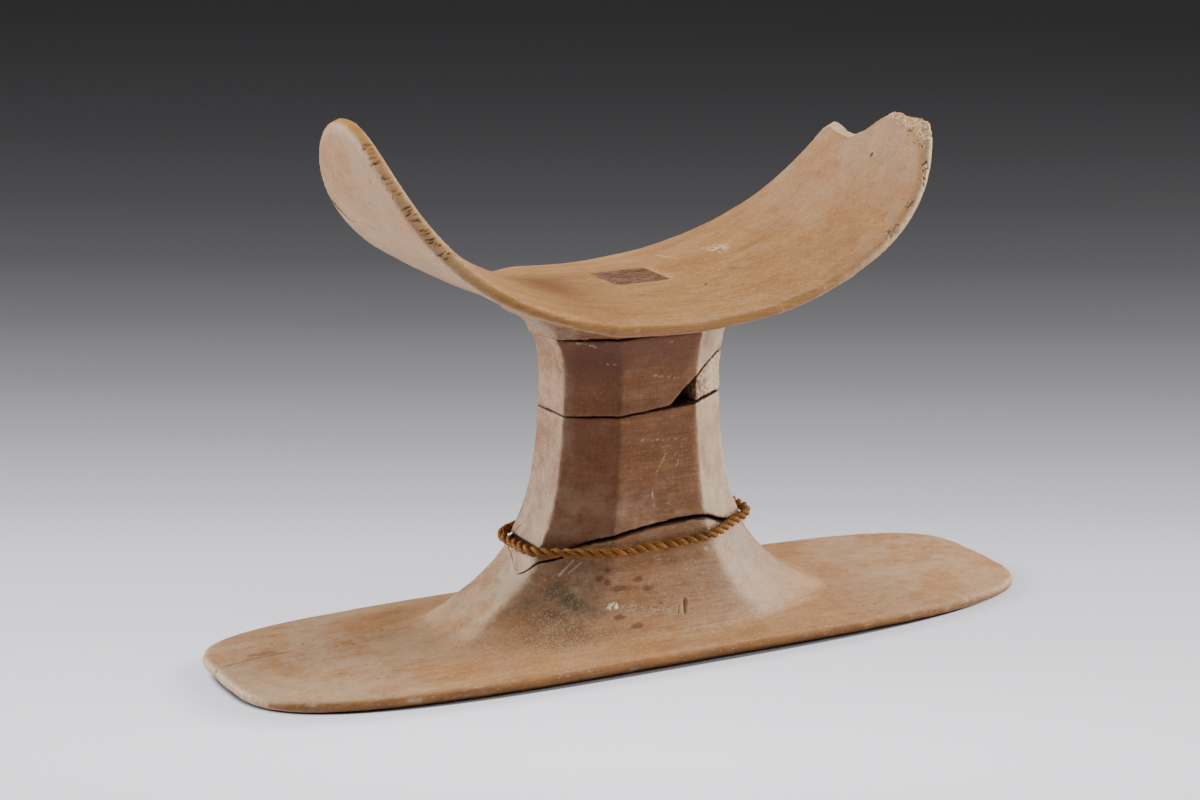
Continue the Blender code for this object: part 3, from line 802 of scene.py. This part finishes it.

# %% [markdown]
# ## The pillar's blocks
# Between the splits lie two blocks of the pillar, darker than the rest because they are heartwood.
# Their facets carry tool marks and old scratches.  The two sides are painted pale, partly with dust and
# wear and partly as the sheen of the side lights; the facet that faces the camera and the front under
# the seat get painted shade.


# %% Both pillar blocks
def carve_block(piece, splits, pale_marks, dark_marks, seed):
    points, normals = points_of(piece), points_of(piece, "normal")
    flared(points)
    wall = 1 - eased(np.abs(normals[:, 2]), 0.6, 0.85)
    points = points + normals * (wall * (0.07 * ripple(points, (18, 14, 14), 2)
                                         + 0.035 * ripple(points, (6, 1.6, 1.6), 3)))[:, None]
    lips = np.zeros(len(points))
    for split, gape, side in splits:
        lips = np.maximum(lips, part_lips(points, normals, split, gape, side))
    points, scraped = carve(points, normals, pale_marks, 1.0)
    points, pitted = carve(points, normals, dark_marks, 0.8)
    put_points(piece, points)
    inside = eased(np.abs(normals[:, 2]), 0.5, 0.8)
    uneven = eased(ripple(points, (1.3, 0.9, 0.9), 3, 2.0), -0.35, 0.35)
    lip_edge = 0.55 * lips * eased(normals[:, 2] ** 2, 0.02, 0.3)
    paint(piece, "crack", np.max([inside, eased(pitted, 0.3, 0.7), lip_edge], axis=0))
    # painted sheen: facets that face right are painted pale, where the right light falls
    painted_right_sheen = 0.30 * eased(normals[:, 0], 0.35, 0.6) * (0.8 + 0.6 * ripple(points, (7, 5, 9), 3, 8.0))
    torn = lips * eased(ripple(points, (1.4, 0.8, 0.8), 3), 0.15, 0.4) * (1 - inside)
    paint(piece, "chip_and_highlight", np.max([0.5 * scraped * uneven, 0.3 * torn, painted_right_sheen], axis=0))
    x, y, z = points.T
    # painted sheen of the side lights on the facets that face left and right, mixed with dust
    painted_side_sheen = np.maximum(eased(-x, 24, 29), eased(normals[:, 0], 0.35, 0.75))
    # painted light: paler towards the bottom, below the shade of the pillow
    painted_light_low_down = 0.45 * (1 - eased(z, 42, 60))
    paint(piece, "dust_and_sheen", 0.12 + 0.75 * painted_side_sheen + painted_light_low_down + 0.25 * ripple(points, (9, 5, 5), 3))
    # painted shade on the front-left facet, which faces the camera and gets no light from the front
    corner = eased(-(0.58 * normals[:, 0] + 0.81 * normals[:, 1]), 0.86, 0.96)
    # painted shade on the front facets under the seat, where the pillow shades them
    painted_shade_under_seat = eased(z, 84, 100) * eased(-normals[:, 1], 0.6, 0.8)
    blotches = eased(ripple(points, (12, 5, 5), 3, seed), 0.0, 0.6)
    paint(piece, "stain_and_shade", 0.2 * blotches + 0.50 * corner + 0.80 * painted_shade_under_seat)
    leave_plain(piece, "ochre", "mould", "grainy", "heart")
    finish_piece(piece, heart_wood, "wood_heart", piece.name.replace("carved", "pillar"))


upper = even_copy("pillar_upper_block", "carved_upper_block", 0.5)
pale = [[(-17.3, -17.2, 93.2, 0.3, 0.08), (-13.7, -19.6, 93.4, 0.3, 0.08)],
        [(-2.1, -19.4, 88.4, 0.35, 0.08), (3.4, -19.4, 87.2, 0.2, 0.02), (9.2, -19.3, 86.2, 0.35, 0.08)],
        [(3.6, -20.3, 98.7, 0.55, 0.2), (4.0, -20.3, 98.7, 0.55, 0.2)],
        [(-25.9, -12.8, 100.0, 0.6, 0.2), (-23.5, -14.5, 99.6, 0.4, 0.1), (-20.9, -15.9, 98.9, 0.6, 0.2)]]
dark = [[(-30.7, 5.3, 99.5, 0.6, 0.9), (-30.5, 5.8, 99.2, 0.5, 0.8)]]
pale, dark = snapped(upper, pale), snapped(upper, dark)
refine_near(upper, near_paths(dark, 0.5))
carve_block(upper, [(top_split, top_gape, -1), (middle_split, middle_gape, 1)], pale, dark, 1)

lower = even_copy("pillar_lower_block", "carved_lower_block", 0.5)
pale = [[(-5.8, -19.5, 67.8, 0.32, 0.1), (0.5, -19.6, 67.1, 0.3, 0.08), (4.3, -19.6, 66.6, 0.2, 0.03)],
        [(6.1, -19.6, 66.7, 0.3, 0.08), (8.8, -19.6, 66.3, 0.15, 0.02), (11.6, -19.6, 66.0, 0.3, 0.06)],
        [(3.0, -19.6, 63.0, 0.25, 0.05), (1.8, -19.8, 60.5, 0.35, 0.12), (-0.9, -20.1, 55.9, 0.3, 0.1)],
        [(7.4, -19.9, 60.0, 0.25, 0.08), (6.3, -20.0, 57.2, 0.2, 0.05)],
        [(-2.5, -20.6, 52.0, 0.2, 0.04), (-1.8, -21.0, 45.5, 0.25, 0.06)]]
pale = snapped(lower, pale)
carve_block(lower, [(middle_split, middle_gape, -1), (lower_split, lower_gape, 1)], pale, [], 5)

# %% [markdown]
# ## The splinter
# A wedge broke off the upper block's right-hand front corner and sits back in place, with a dark
# hollow to its left.  Fresh torn wood is paler and stringy, so its face gets grooves that run up the
# slope, cut with the same stretched noise that frays the splits.

# %% The splinter
splinter = even_copy("pillar_splinter", "torn_splinter", 0.36, 2)
points, normals = points_of(splinter), points_of(splinter, "normal")
up_slope = Matrix.Rotation(math.radians(-38), 3, "Y")
turned = points @ np.array(up_slope).T
strings = ripple(turned, (7, 0.8, 0.8), 3)
points = points + normals * (0.22 * strings)[:, None]
part_lips(points, normals, middle_split, middle_gape, 1)
put_points(splinter, points)
x, y, z = points.T
near_hollow = 1 - eased(x, 12.5, 15.5)
paint(splinter, "crack", np.max([0.9 * eased(-strings, 0.25, 0.6) * (1 - eased(x, 15, 24)), 0.6 * near_hollow,
                                 eased(-normals[:, 2], 0.6, 0.85)], axis=0))
# the part right of x = 17 mm, on the facet that faces right, gets the same painted sheen as the block's
# right-facing facets
paint(splinter, "chip_and_highlight", 0.40 * eased(strings, 0.0, 0.4) * (1 - eased(x, 18, 26)) + 0.30 * eased(x, 17, 23))
paint(splinter, "dust_and_sheen", 0.35 + 0.6 * eased(x, 17, 26))
leave_plain(splinter, "ochre", "mould", "grainy", "heart", "stain_and_shade")
finish_piece(splinter, heart_wood, "wood_heart", "pillar_splinter")

# %% [markdown]
# ## The foot
# The base is one long oval board that rises into the flared foot of the pillar.  It has a crack at
# its left end, a check that runs down from the split, rust-brown spots, a dab of plaster, a dent, and
# a dark mouldy patch with pale grains on the corner that faces left.  Its lower edge is worn away a
# little, and a painted shadow in the paper's glow gives the thin dark line under it.

# %% Base: its marks as paths
base = even_copy("base", "carved_base", 1.0, crisp=(-1, 6))
end_crack = [[(-139.8, 8.6, 1.6, 0.35, 0.8), (-139.2, 8.8, 3.5, 0.45, 1.0), (-134.7, 9.7, 4.1, 0.4, 0.8),
              (-127.1, 11.0, 4.4, 0.3, 0.45), (-120.4, 11.1, 4.6, 0.25, 0.25), (-110, 10.8, 4.9, 0.2, 0.1)]]
check = [[(-30.5, -18.5, 34.2, 0.7, 2.0), (-35.0, -14.4, 31.3, 0.55, 1.6), (-38.6, -12.0, 29.9, 0.4, 1.2),
          (-40.6, -10.6, 28.2, 0.35, 0.9), (-42.0, -9.0, 26.4, 0.35, 0.7), (-43.4, -6.6, 25.4, 0.2, 0.3)]]
dents = [[(5.7, -28.3, 15.5, 1.0, 0.8), (5.0, -29.6, 13.0, 0.8, 0.7), (4.6, -30.3, 11.7, 0.5, 0.3)],
         [(3.1, -28.8, 14.2, 0.4, 0.2), (2.4, -29.8, 12.2, 0.4, 0.2)]]
nicks = [[(-124.9, -30.6, 3.4, 1.0, 0.5), (-123.5, -31.3, 3.2, 1.0, 0.4)],
         [(-95.5, -39.4, 2.6, 1.2, 0.5), (-92.5, -40.2, 2.4, 1.2, 0.4)],
         [(99.0, -39.5, 1.8, 1.1, 0.8), (100.4, -39.2, 2.4, 0.9, 0.6)],
         [(116.5, -34.0, 1.2, 1.4, 0.9), (119.0, -32.6, 1.2, 1.4, 0.9)],
         [(123.0, -29.6, 1.0, 1.0, 0.6), (124.0, -29.0, 1.0, 1.0, 0.6)],
         [(-21.5, -43.5, 1.0, 1.0, 0.4), (-19.5, -43.5, 1.0, 1.0, 0.4)]]
pale_lines = [[(-29.7, -19.0, 31.5, 0.4, 0.1), (-33.3, -16.5, 26.3, 0.5, 0.12)],
              [(-27.5, -20.5, 31.0, 0.3, 0.08), (-31.0, -18.6, 27.5, 0.3, 0.08)],
              [(15.8, -23.6, 30.4, 0.6, 0.25), (16.8, -23.2, 29.6, 0.6, 0.25)]]
PITS = [(70.2, -32.8), (74.5, -32.8), (84.4, -31.0), (91.4, -36.4), (91.3, -37.9), (114.3, -32.5),
        (67.3, -14.8), (120.8, -9.4), (-115.6, 21.3), (-107.4, 15.4), (-94.1, 6.6), (-99.3, 7.3),
        (-97.8, -11.7), (-99.2, -23.7), (-80.8, 13.6), (-107.9, 36.1), (-131.5, 14.0)]
pits = [[(px, py, 5.0, 0.5, 0.35), (px + 0.5, py, 5.0, 0.4, 0.3)] for px, py in PITS]
end_crack, check, dents, nicks, pale_lines, pits = (snapped(base, group) for group in
                                                    (end_crack, check, dents, nicks, pale_lines, pits))
print(len(pits), "pits in the base")

# %% Base: carve and paint
refine_near(base, lambda c: (c[:, 2] > 8) & (np.abs(c[:, 0]) < 52) & (c[:, 1] < 4))
refine_near(base, near_paths(end_crack + check + dents + pits, 0.6))
refine_near(base, near_paths(check, 0.25))
points, normals = points_of(base), points_of(base, "normal")
x, y, z = points.T
low_side = eased(-normals[:, 2], 0.4, 0.8) * (z < 2)
points = points + normals * ((1 - low_side) * (0.12 * ripple(points, (34, 22, 22), 2)
                                              + 0.05 * ripple(points, (8, 2.2, 2.2), 3)))[:, None]
rim = eased((np.abs(x) / 140) ** 3.2 + (np.abs(y) / 43.6) ** 3.2, 0.62, 1.0)
edge_wear = rim * eased(z, 0.6, 2.0) * (1 - eased(normals[:, 2], 0.8, 0.95))
points = points - normals * (edge_wear * (0.10 + 0.22 * ripple(points, (5, 2, 1.6), 3)))[:, None]
points[:, 2] += np.where(z < 1.2, 0.3 * rim, 0)
lips = part_lips(points, normals, lower_split, lower_gape, -1) * (z > 30)
points, cracked = carve(points, normals, end_crack, 0.8)
points, checked = carve(points, normals, check, 0.6)
points, dented = carve(points, normals, dents, 0.9)
points, nicked = carve(points, normals, nicks, 0.8)
points, lined = carve(points, normals, pale_lines, 1.0)
points, pitted = carve(points, normals, pits, 0.8)
dab = np.exp(-(((x + 20.0) / 2.3) ** 2 + ((z - 17.2) / 1.1) ** 2) ** 2) * (y < -20)
dab *= eased(ripple(points, (0.8, 0.7, 0.7), 3), -0.35, 0.1)
points = points + normals * (dab * 0.35)[:, None]
points[:, 2] = np.maximum(points[:, 2], 0)
put_points(base, points)


def blot(cx, cy, cz, rx, ry, rz):
    """A soft-edged, uneven spot."""
    away = np.sqrt(((x - cx) / rx) ** 2 + ((y - cy) / ry) ** 2 + ((z - cz) / rz) ** 2)
    return 1 - eased(away + 0.35 * spot_edge, 0.7, 1.15)


spot_edge = ripple(points, (1.6, 1.2, 1.2), 3)
# each spot: its middle and its half size along x, y and z
SPOTS = [(-19.8, -23.8, 28.0, 1.2, 3, 0.9), (-22.9, -23.2, 25.7, 1.1, 3, 0.9),
         (-20.3, -24.9, 24.3, 1.2, 3, 1.0), (-16.9, -25.7, 22.2, 2.7, 3, 1.1),
         (-9.8, -25.0, 24.1, 2.0, 3, 0.9), (-6.8, -26.1, 20.9, 2.2, 3, 0.9),
         (-18.3, -29.0, 13.8, 2.0, 3, 0.8), (-12.8, -30.8, 10.7, 2.4, 3, 1.0),
         (-2.9, -28.2, 15.9, 0.7, 2, 0.5)]
spots = np.max([blot(*spot) for spot in SPOTS], axis=0)
tide = np.max([0.75 * blot(94, 17, 5.3, 7.5, 4.2, 3), 0.5 * blot(87.7, 0.5, 5.8, 0.8, 3.0, 2),
               1.3 * blot(-122, 14.0, 4.5, 5.5, 2.0, 3)], axis=0)
away = ((x + 34) / 13) ** 2 + ((y + 20) / 9.5) ** 2 + ((z - 19) / 13.5) ** 2
mould = np.exp(-away) * np.clip(0.75 + 0.9 * ripple(points, (6, 5, 5), 4), 0, 1.1)
grainy = np.clip(1.3 * np.exp(-((x + 37) ** 2 / 140 + (y + 27) ** 2 / 90 + (z - 9) ** 2 / 50)), 0, 1)
strip = np.exp(-(((x + 7.5) / 11) ** 4 + ((z - 14.8 + (x + 7.5) * 0.16) / 1.1) ** 2)) * (y < -20)
inside = eased(normals[:, 2], 0.5, 0.8) * eased(z, 30, 31.5)
front_wall = eased(-normals[:, 1], 0.4, 0.8) * (z < 4.5)
# darker towards the right end, and at the back of the left end
darker_areas = (0.22 * eased(x, 45, 90) + 0.14 * eased(-x, 50, 80) * eased(y, -20, 5)) * (1 - front_wall)
under_edge = front_wall * (0.35 + 0.3 * ripple(points, (9, 2, 1.2), 3)) * (1 - eased(z, 1.5, 3.6))
paint(base, "stain_and_shade", np.max([spots * 0.85, tide * 0.55, under_edge, darker_areas], axis=0))
paint(base, "mould", np.maximum(mould, 0.35 * strip))
paint(base, "heart", np.maximum(0.75 * eased(z, 4, 27), 0.85 * front_wall))
paint(base, "grainy", np.clip(grainy + 0.35 * mould + 0.8 * strip, 0, 1))
paint(base, "chip_and_highlight", np.max([0.95 * eased(dab, 0.2, 0.6), 0.6 * lined, 0.35 * nicked, 0.3 * strip *
                            eased(ripple(points, (0.9, 0.8, 0.8), 2), 0.1, 0.3)], axis=0))
paint(base, "crack", np.max([0.8 * eased(cracked, 0.25, 0.7), eased(checked, 0.2, 0.5),
                             0.6 * eased(dented, 0.3, 0.9), 0.75 * eased(pitted, 0.3, 0.7), inside,
                             0.5 * lips * (1 - inside)], axis=0))
paint(base, "ochre", np.clip(front_wall * (0.35 + 0.5 * ripple(points, (14, 3, 2), 3)), 0, 0.8))
# dust and painted sheen: greyer towards the ends, a paler patch on the foot's front right, and the painted
# sheen of the left light on faces that turn left; little on the front wall
pale_front_right_patch = np.exp(-(((x - 33) / 14) ** 2 + ((y + 24) / 9) ** 2)) * (z > 7)
paint(base, "dust_and_sheen", np.clip(0.3 + 0.55 * eased(np.abs(x), 45, 110) + 0.6 * pale_front_right_patch
                            + 0.6 * eased(-normals[:, 0], 0.3, 0.7) * (z > 8), 0, 1) * (1 - 0.8 * front_wall))
finish_piece(base, foot_wood, "wood_pale", "base")

# %% [markdown]
# ## The peg
# A square peg was driven down through the pillar, and its end shows in the seat as a dark, rough
# square of end grain.  It starts as a cube at the CAD's size; its edges are bevelled, its end is
# subdivided, and then the end is bent to the seat's curve and roughened.

# %% The peg
low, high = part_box("repair_peg")
size = high - low
middle = (low + high) / 2
for other in bpy.context.view_layer.objects:
    other.select_set(False)
bpy.ops.mesh.primitive_cube_add(size=1, location=middle)
peg = bpy.context.object
peg.name = "driven_peg"
bpy.ops.object.mode_set(mode="EDIT")
bpy.ops.mesh.select_all(action="SELECT")
bpy.ops.transform.resize(value=(size.x, size.y, size.z))
bpy.ops.mesh.bevel(offset=0.7 * MM, segments=2, affect="EDGES")
bpy.ops.mesh.select_mode(type="FACE")
bpy.ops.mesh.select_all(action="DESELECT")
bm = bmesh.from_edit_mesh(peg.data)
for face in bm.faces:
    face.select_set(face.normal.z > 0.9)
bmesh.update_edit_mesh(peg.data)
bpy.ops.mesh.inset(thickness=0.5 * MM)
bpy.ops.mesh.subdivide(number_cuts=44)
bpy.ops.object.mode_set(mode="OBJECT")
only(peg)
bpy.ops.object.transform_apply(location=True, rotation=True, scale=True)
seat = BVHTree.FromPolygons([vert.co / MM for vert in frame["nodes"]["repair_peg"].data.vertices],
                            [tuple(face.vertices) for face in frame["nodes"]["repair_peg"].data.polygons])
points = points_of(peg)
for row in points:
    if row[2] > high.z / MM - 3:
        above = seat.ray_cast(Vector((row[0] * 0.98, row[1] * 0.98, 130)), Vector((0, 0, -1)))[0]
        row[2] += (above.z if above else row[2]) - high.z / MM - 0.15
top = points[:, 2] > high.z / MM - 3
points[:, 2] += top * 0.22 * ripple(points, (1.1, 0.8, 30), 4)
points[:, 2] -= top * 0.5 * eased(ripple(points, (5, 1.2, 30), 3, 4), 0.28, 0.6)
leaned(points)
put_points(peg, points)
paint(peg, "crack", 0.85 * top * eased(ripple(points, (4.5, 1.1, 30), 3, 4), 0.12, 0.5))
paint(peg, "dust_and_sheen", 0.45 + 0.5 * ripple(points, (3, 2, 9), 3))
paint(peg, "stain_and_shade", 0.4 + 0.5 * ripple(points, (2, 1.2, 9), 3, 2))
leave_plain(peg, "ochre", "mould", "grainy", "heart", "chip_and_highlight")
peg_wood = old_wood("peg_wood", (0.11, 0.050, 0.022), (0.18, 0.088, 0.042), (0.28, 0.155, 0.085),
                    (0.34, 0.25, 0.18), 0.6, 1.5)
finish_piece(peg, peg_wood, "wood_peg", "repair_peg")

# %% [markdown]
# ## The binding cord
# The cord is two strands of golden plant fibre, twisted so that they lean down to the right, and
# each strand is itself a few yarns twisted the other way.  A plain tube with a striped material would
# look flat at its edges, so each strand is a real tube wound round the cord's middle line, with a
# lobed outline for its yarns.  The middle line goes round the foot just as the CAD cord does.
#
# The cord is held all the way round and can't move, so it isn't a free cord.


# %% The cord's middle line, in mm
CORD_HEIGHT = 33.2
CORD_DIAMETER = 3.2
KNOT_ANGLE = math.radians(105)


def foot_corners(height):
    """The eight corners of the foot's section at a height."""
    flare = height - 17.8
    a = 27.4 + 23.8 * math.exp(-flare / 18) + 4.8 * math.exp((height - 103) / 6.5)
    b = 18.8 + 8.5 * math.exp(-flare / 20) + 2.4 * math.exp((height - 103) / 7)
    quarter = [(a, 0.46 * b), (0.48 * a, b)]
    corners = quarter + [(-px, py) for px, py in reversed(quarter)]
    return corners + [(-px, -py) for px, py in corners]


def reach_round(angle, corners, outside):
    """How far out a line round the eight corners lies, in one direction."""
    most = 0
    for (x0, y0), (x1, y1) in zip(corners, corners[1:] + corners[:1]):
        run = math.hypot(x1 - x0, y1 - y0)
        nx, ny = (y1 - y0) / run, (x0 - x1) / run
        facing = nx * math.cos(angle) + ny * math.sin(angle)
        if facing > 0:
            most = max(most, facing / (nx * x0 + ny * y0 + outside))
    return 1 / most


def cord_middle(angle, clearance=0.2):
    height = CORD_HEIGHT + 3.2 * max(0, math.cos(angle)) ** 2 - 0.6 * math.sin(angle)
    slack = 1.1 * math.cos(angle) ** 8
    outside = CORD_DIAMETER / 2 + clearance + slack
    turns = [math.radians(turn) for turn in (-6, -3, 0, 3, 6)]
    reach = sum(reach_round(angle + turn, foot_corners(height - 1), outside) for turn in turns) / len(turns)
    return np.array([reach * math.cos(angle), reach * math.sin(angle), height])


def evenly(points, step):
    """The same line with points a fixed step apart."""
    points = np.array(points, float)
    run = np.r_[0, np.cumsum(np.linalg.norm(np.diff(points, axis=0), axis=1))]
    at = np.linspace(0, run[-1], max(2, round(run[-1] / step)))
    return np.stack([np.interp(at, run, points[:, k]) for k in range(3)], axis=1)


KNOT_HALF_GAP = 0.10                    # radians that the knot takes on each side of its middle
CORD_STEP = 0.33                        # mm between the points of a cord's line
rest_of_turn = 2 * math.pi - 2 * KNOT_HALF_GAP
angles = [KNOT_ANGLE + KNOT_HALF_GAP + rest_of_turn * k / 360 for k in range(361)]
loop = evenly([cord_middle(angle) for angle in angles], CORD_STEP)
print("cord round the foot:", round(CORD_STEP * len(loop)), "mm")


# %% Helpers: tubes and twisted strands
def turning_frames(line):
    """A direction across the line at every point, carried along it without twist, and its partner."""
    along = np.gradient(line, axis=0)
    along /= np.linalg.norm(along, axis=1)[:, None]
    side = np.cross(along[0], (0, 0, 1.0))
    sides = []
    for way in along:
        side = side - way * (side @ way)
        side /= np.linalg.norm(side)
        sides.append(side)
    sides = np.array(sides)
    return sides, np.cross(sides, along)


def tube_parts(line, radius, sides=10, lobes=0, lobe_depth=0.0, lobe_turn=0.0):
    """Points, faces and UVs of a closed tube along a line; radius has one value for each point."""
    across, up = turning_frames(line)
    run = np.r_[0, np.cumsum(np.linalg.norm(np.diff(line, axis=0), axis=1))]
    turn = np.linspace(0, 2 * math.pi, sides, endpoint=False)
    angle = turn[None, :] + (lobe_turn * run)[:, None]
    reach = radius[:, None] * (1 + lobe_depth * np.cos(lobes * turn)[None, :])
    rings = (line[:, None, :] + across[:, None, :] * (reach * np.cos(angle))[:, :, None]
             + up[:, None, :] * (reach * np.sin(angle))[:, :, None])
    points = rings.reshape(-1, 3)
    faces, uvs = [], []
    for i in range(len(line) - 1):
        for j in range(sides):
            k = (j + 1) % sides
            faces.append((i * sides + j, i * sides + k, (i + 1) * sides + k, (i + 1) * sides + j))
            uvs += [(run[i] / 10, j / sides), (run[i] / 10, (j + 1) / sides),
                    (run[i + 1] / 10, (j + 1) / sides), (run[i + 1] / 10, j / sides)]
    last = (len(line) - 1) * sides
    faces.append(tuple(reversed(range(sides))))
    faces.append(tuple(last + j for j in range(sides)))
    uvs += [(0, 0)] * sides + [(run[-1] / 10, 0)] * sides
    return points, faces, uvs


def joined(name, parts):
    """One mesh piece from several tubes."""
    points, faces, uvs, count = [], [], [], 0
    for part_points, part_faces, part_uvs in parts:
        points.append(part_points)
        faces += [tuple(index + count for index in face) for face in part_faces]
        uvs += part_uvs
        count += len(part_points)
    mesh = bpy.data.meshes.new(name)
    mesh.from_pydata((np.concatenate(points) * MM).tolist(), [], faces)
    layer = mesh.uv_layers.new(name="along")
    layer.data.foreach_set("uv", np.array(uvs, float).ravel())
    piece = bpy.data.objects.new(name, mesh)
    bpy.context.scene.collection.objects.link(piece)
    only(piece)
    bpy.ops.object.mode_set(mode="EDIT")
    bpy.ops.mesh.select_all(action="SELECT")
    bpy.ops.mesh.normals_make_consistent(inside=False)
    bpy.ops.object.mode_set(mode="OBJECT")
    return piece


def strands(line, count, diameter, pitch, seed):
    """The strands of a twisted cord round a middle line."""
    across, up = turning_frames(line)
    run = np.r_[0, np.cumsum(np.linalg.norm(np.diff(line, axis=0), axis=1))]
    strand = diameter * 0.262
    made = []
    for k in range(count):
        uneven = np.array([noise.noise(Vector((s / 9, 7.3 * k + seed, 0))) for s in run])
        swell = np.array([noise.noise(Vector((s / 2.2, 3.1 * k + seed, 5))) for s in run])
        turn = -2 * math.pi * (run / pitch + k / count) + 0.15 * uneven
        out = diameter * (0.236 + 0.02 * uneven)
        path = line + across * (out * np.cos(turn))[:, None] + up * (out * np.sin(turn))[:, None]
        radius = strand * (1 + 0.10 * swell + 0.05 * uneven)
        made.append((path, radius))
    return made


print("tube helpers ready")


# %% The cord's fibre
def plant_fibre(name, dark, light):
    """Dry golden fibre: lines run along the yarn and wind round it."""
    made, tree, shader = new_material(name)
    along = add(tree, "UVMap", uv_map="along").outputs[0]
    drawn_out = {"Vector": along, "Rotation": (0, 0, 0.05), "Scale": (2.2, 26, 1)}
    wound = add(tree, "Mapping", drawn_out).outputs[0]
    lines = add(tree, "TexNoise", {"Vector": wound, "Scale": 1, "Detail": 4, "Roughness": 0.7}).outputs["Fac"]
    patches = stretched_noise(tree, (60, 60, 60), 3)
    colour = ramp(tree, lines, [(0.33, dark), (0.66, light)])
    worn = ranged(tree, patches, 0.35, 0.65, 0.75, 1.15)
    colour = mixed(tree, 1.0, colour, grey_of(tree, worn), "MULTIPLY")
    plug(tree, shader.inputs["Base Color"], colour)
    plug(tree, shader.inputs["Roughness"], ranged(tree, lines, 0.3, 0.7, 0.8, 0.65))
    shader.inputs["Specular IOR Level"].default_value = 0.2
    raised = add(tree, "Bump", {"Height": lines, "Strength": 0.7, "Distance": 0.00015}).outputs[0]
    plug(tree, shader.inputs["Normal"], raised)
    return made


cord_fibre = plant_fibre("cord_fibre", (0.060, 0.018, 0.003), (0.40, 0.170, 0.036))
cord_strands = strands(loop, 2, CORD_DIAMETER, 7.4, 0.0)
cord = joined("twisted_cord", [tube_parts(path, radius, 20, 5, 0.09, 1.1) for path, radius in cord_strands])
finish_piece(cord, cord_fibre, "cord_fibre", "binding_cord")

# %% [markdown]
# ## Frayed fibres, a loose thread and the knot
# Dry fibre breaks, and its ends stand out from the cord.  Each broken end is a thin bent tube of a
# few faces, because there are hundreds.  One longer thread hangs down at the left.  The knot behind
# the foot is an overhand knot: a trefoil line, wound with the same strands as the cord, whose two
# frayed tails stick out.


# %% Frayed fibres
def frays(draw, sources, count, length, radius):
    """Thin bent fibres that start on the strands and stand off from them."""
    made = []
    for _ in range(count):
        path, strand_radius = sources[draw.randrange(len(sources))]
        at = draw.randrange(4, len(path) - 4)
        along = (path[at + 2] - path[at - 2]) * draw.choice((-1, 1))
        along /= np.linalg.norm(along)
        away = np.array([draw.uniform(-1, 1) for _ in range(3)])
        away -= along * (away @ along)
        away /= np.linalg.norm(away)
        start = path[at] + away * strand_radius[at] * 0.8
        reach = length * draw.uniform(0.4, 1.2)
        bend = np.array([draw.uniform(-0.5, 0.5) for _ in range(3)])
        steps = np.linspace(0, 1, 6)[:, None]
        line = start + steps * reach * (along * 0.8 + away * 0.35)
        line = line + steps ** 2 * reach * (bend * 0.6 + away * 0.35)
        made.append(tube_parts(line, radius * np.linspace(1, 0.45, 6), 4))
    return made


draw = random.Random(3)
fibres = joined("cord_frays", frays(draw, cord_strands, 420, 2.6, 0.045))
finish_piece(fibres, cord_fibre, "cord_fibre")

# %% The loose thread at the left
hang = [(-38.9, 12.5, 34.9), (-40.2, 9.0, 34.6), (-41.0, 5.5, 33.0), (-41.4, 2.4, 30.8),
        (-41.9, -0.5, 28.8), (-42.4, -2.8, 27.4), (-42.9, -4.6, 26.4), (-43.1, -6.0, 25.9)]
wisp = [(-37.0, 3.0, 38.2), (-38.9, 4.2, 35.6), (-41.6, 4.6, 32.6), (-41.3, 3.8, 31.0)]
threads = []
for line, thick in ((hang, 0.20), (wisp, 0.12)):
    smooth_line = evenly(line, 0.5)
    for _ in range(4):
        smooth_line[1:-1] = (smooth_line[:-2] + smooth_line[1:-1] + smooth_line[2:]) / 3
    curl = np.array([[noise.noise(Vector((k / 5, 3 * axis + thick * 10, 1))) for axis in range(3)]
                     for k in range(len(smooth_line))])
    smooth_line = smooth_line + 0.35 * curl
    threads.append(tube_parts(smooth_line, thick * np.linspace(1, 0.5, len(smooth_line)), 6))
loose = joined("loose_thread", threads)
finish_piece(loose, cord_fibre, "cord_fibre")

# %% The knot
knot_middle = cord_middle(KNOT_ANGLE) + np.array([0, 1.5, 0])
along_cord = np.array([math.cos(KNOT_ANGLE + math.pi / 2), math.sin(KNOT_ANGLE + math.pi / 2), 0])
outward = np.array([math.cos(KNOT_ANGLE), math.sin(KNOT_ANGLE), 0])
upward = np.array([0, 0, 1.0])


def knot_line(points):
    return evenly([knot_middle + along_cord * a + outward * o + upward * u for a, o, u in points], CORD_STEP)


turns = np.linspace(0.25, 2 * math.pi - 0.25, 120)
trefoil = knot_line([(1.35 * (math.sin(t) + 2 * math.sin(2 * t)), 0.2 - 1.15 * math.sin(3 * t),
                      0.95 * (math.cos(t) - 2 * math.cos(2 * t))) for t in turns])
tails = [knot_line([(2.0, 0.8, 0.5), (4.0, 2.0, -0.5), (5.2, 2.6, -2.6), (5.9, 3.2, -5.4),
                    (6.9, 3.6, -8.0)]),
         knot_line([(-2.0, 0.8, 0.5), (-3.6, 2.4, 0.6), (-5.4, 3.4, -0.9), (-6.4, 3.9, -3.4),
                    (-6.6, 4.6, -6.0)])]
knot_strands = strands(trefoil, 2, 2.5, 6.0, 4.0)
for n, tail in enumerate(tails):
    for _ in range(6):
        tail[1:-1] = (tail[:-2] + tail[1:-1] + tail[2:]) / 3
    knot_strands += strands(tail, 2, 2.5, 6.0, 9.0 + n)
knot = joined("tied_knot", [tube_parts(path, radius, 16, 4, 0.08, 1.2) for path, radius in knot_strands])
finish_piece(knot, cord_fibre, "cord_fibre", "cord_knot")
tail_ends = [(path[-14:], radius[-14:]) for path, radius in knot_strands[2:]]
knot_fibres = frays(draw, tail_ends, 90, 4.2, 0.05) + frays(draw, knot_strands, 60, 2.4, 0.045)
tassels = joined("knot_frays", knot_fibres)
finish_piece(tassels, cord_fibre, "cord_fibre")

# %% Sizes
new_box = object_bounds()
for name, corners in (("cad", cad_box), ("visual", new_box)):
    print(name, [[round(value / MM, 2) for value in corner] for corner in corners])
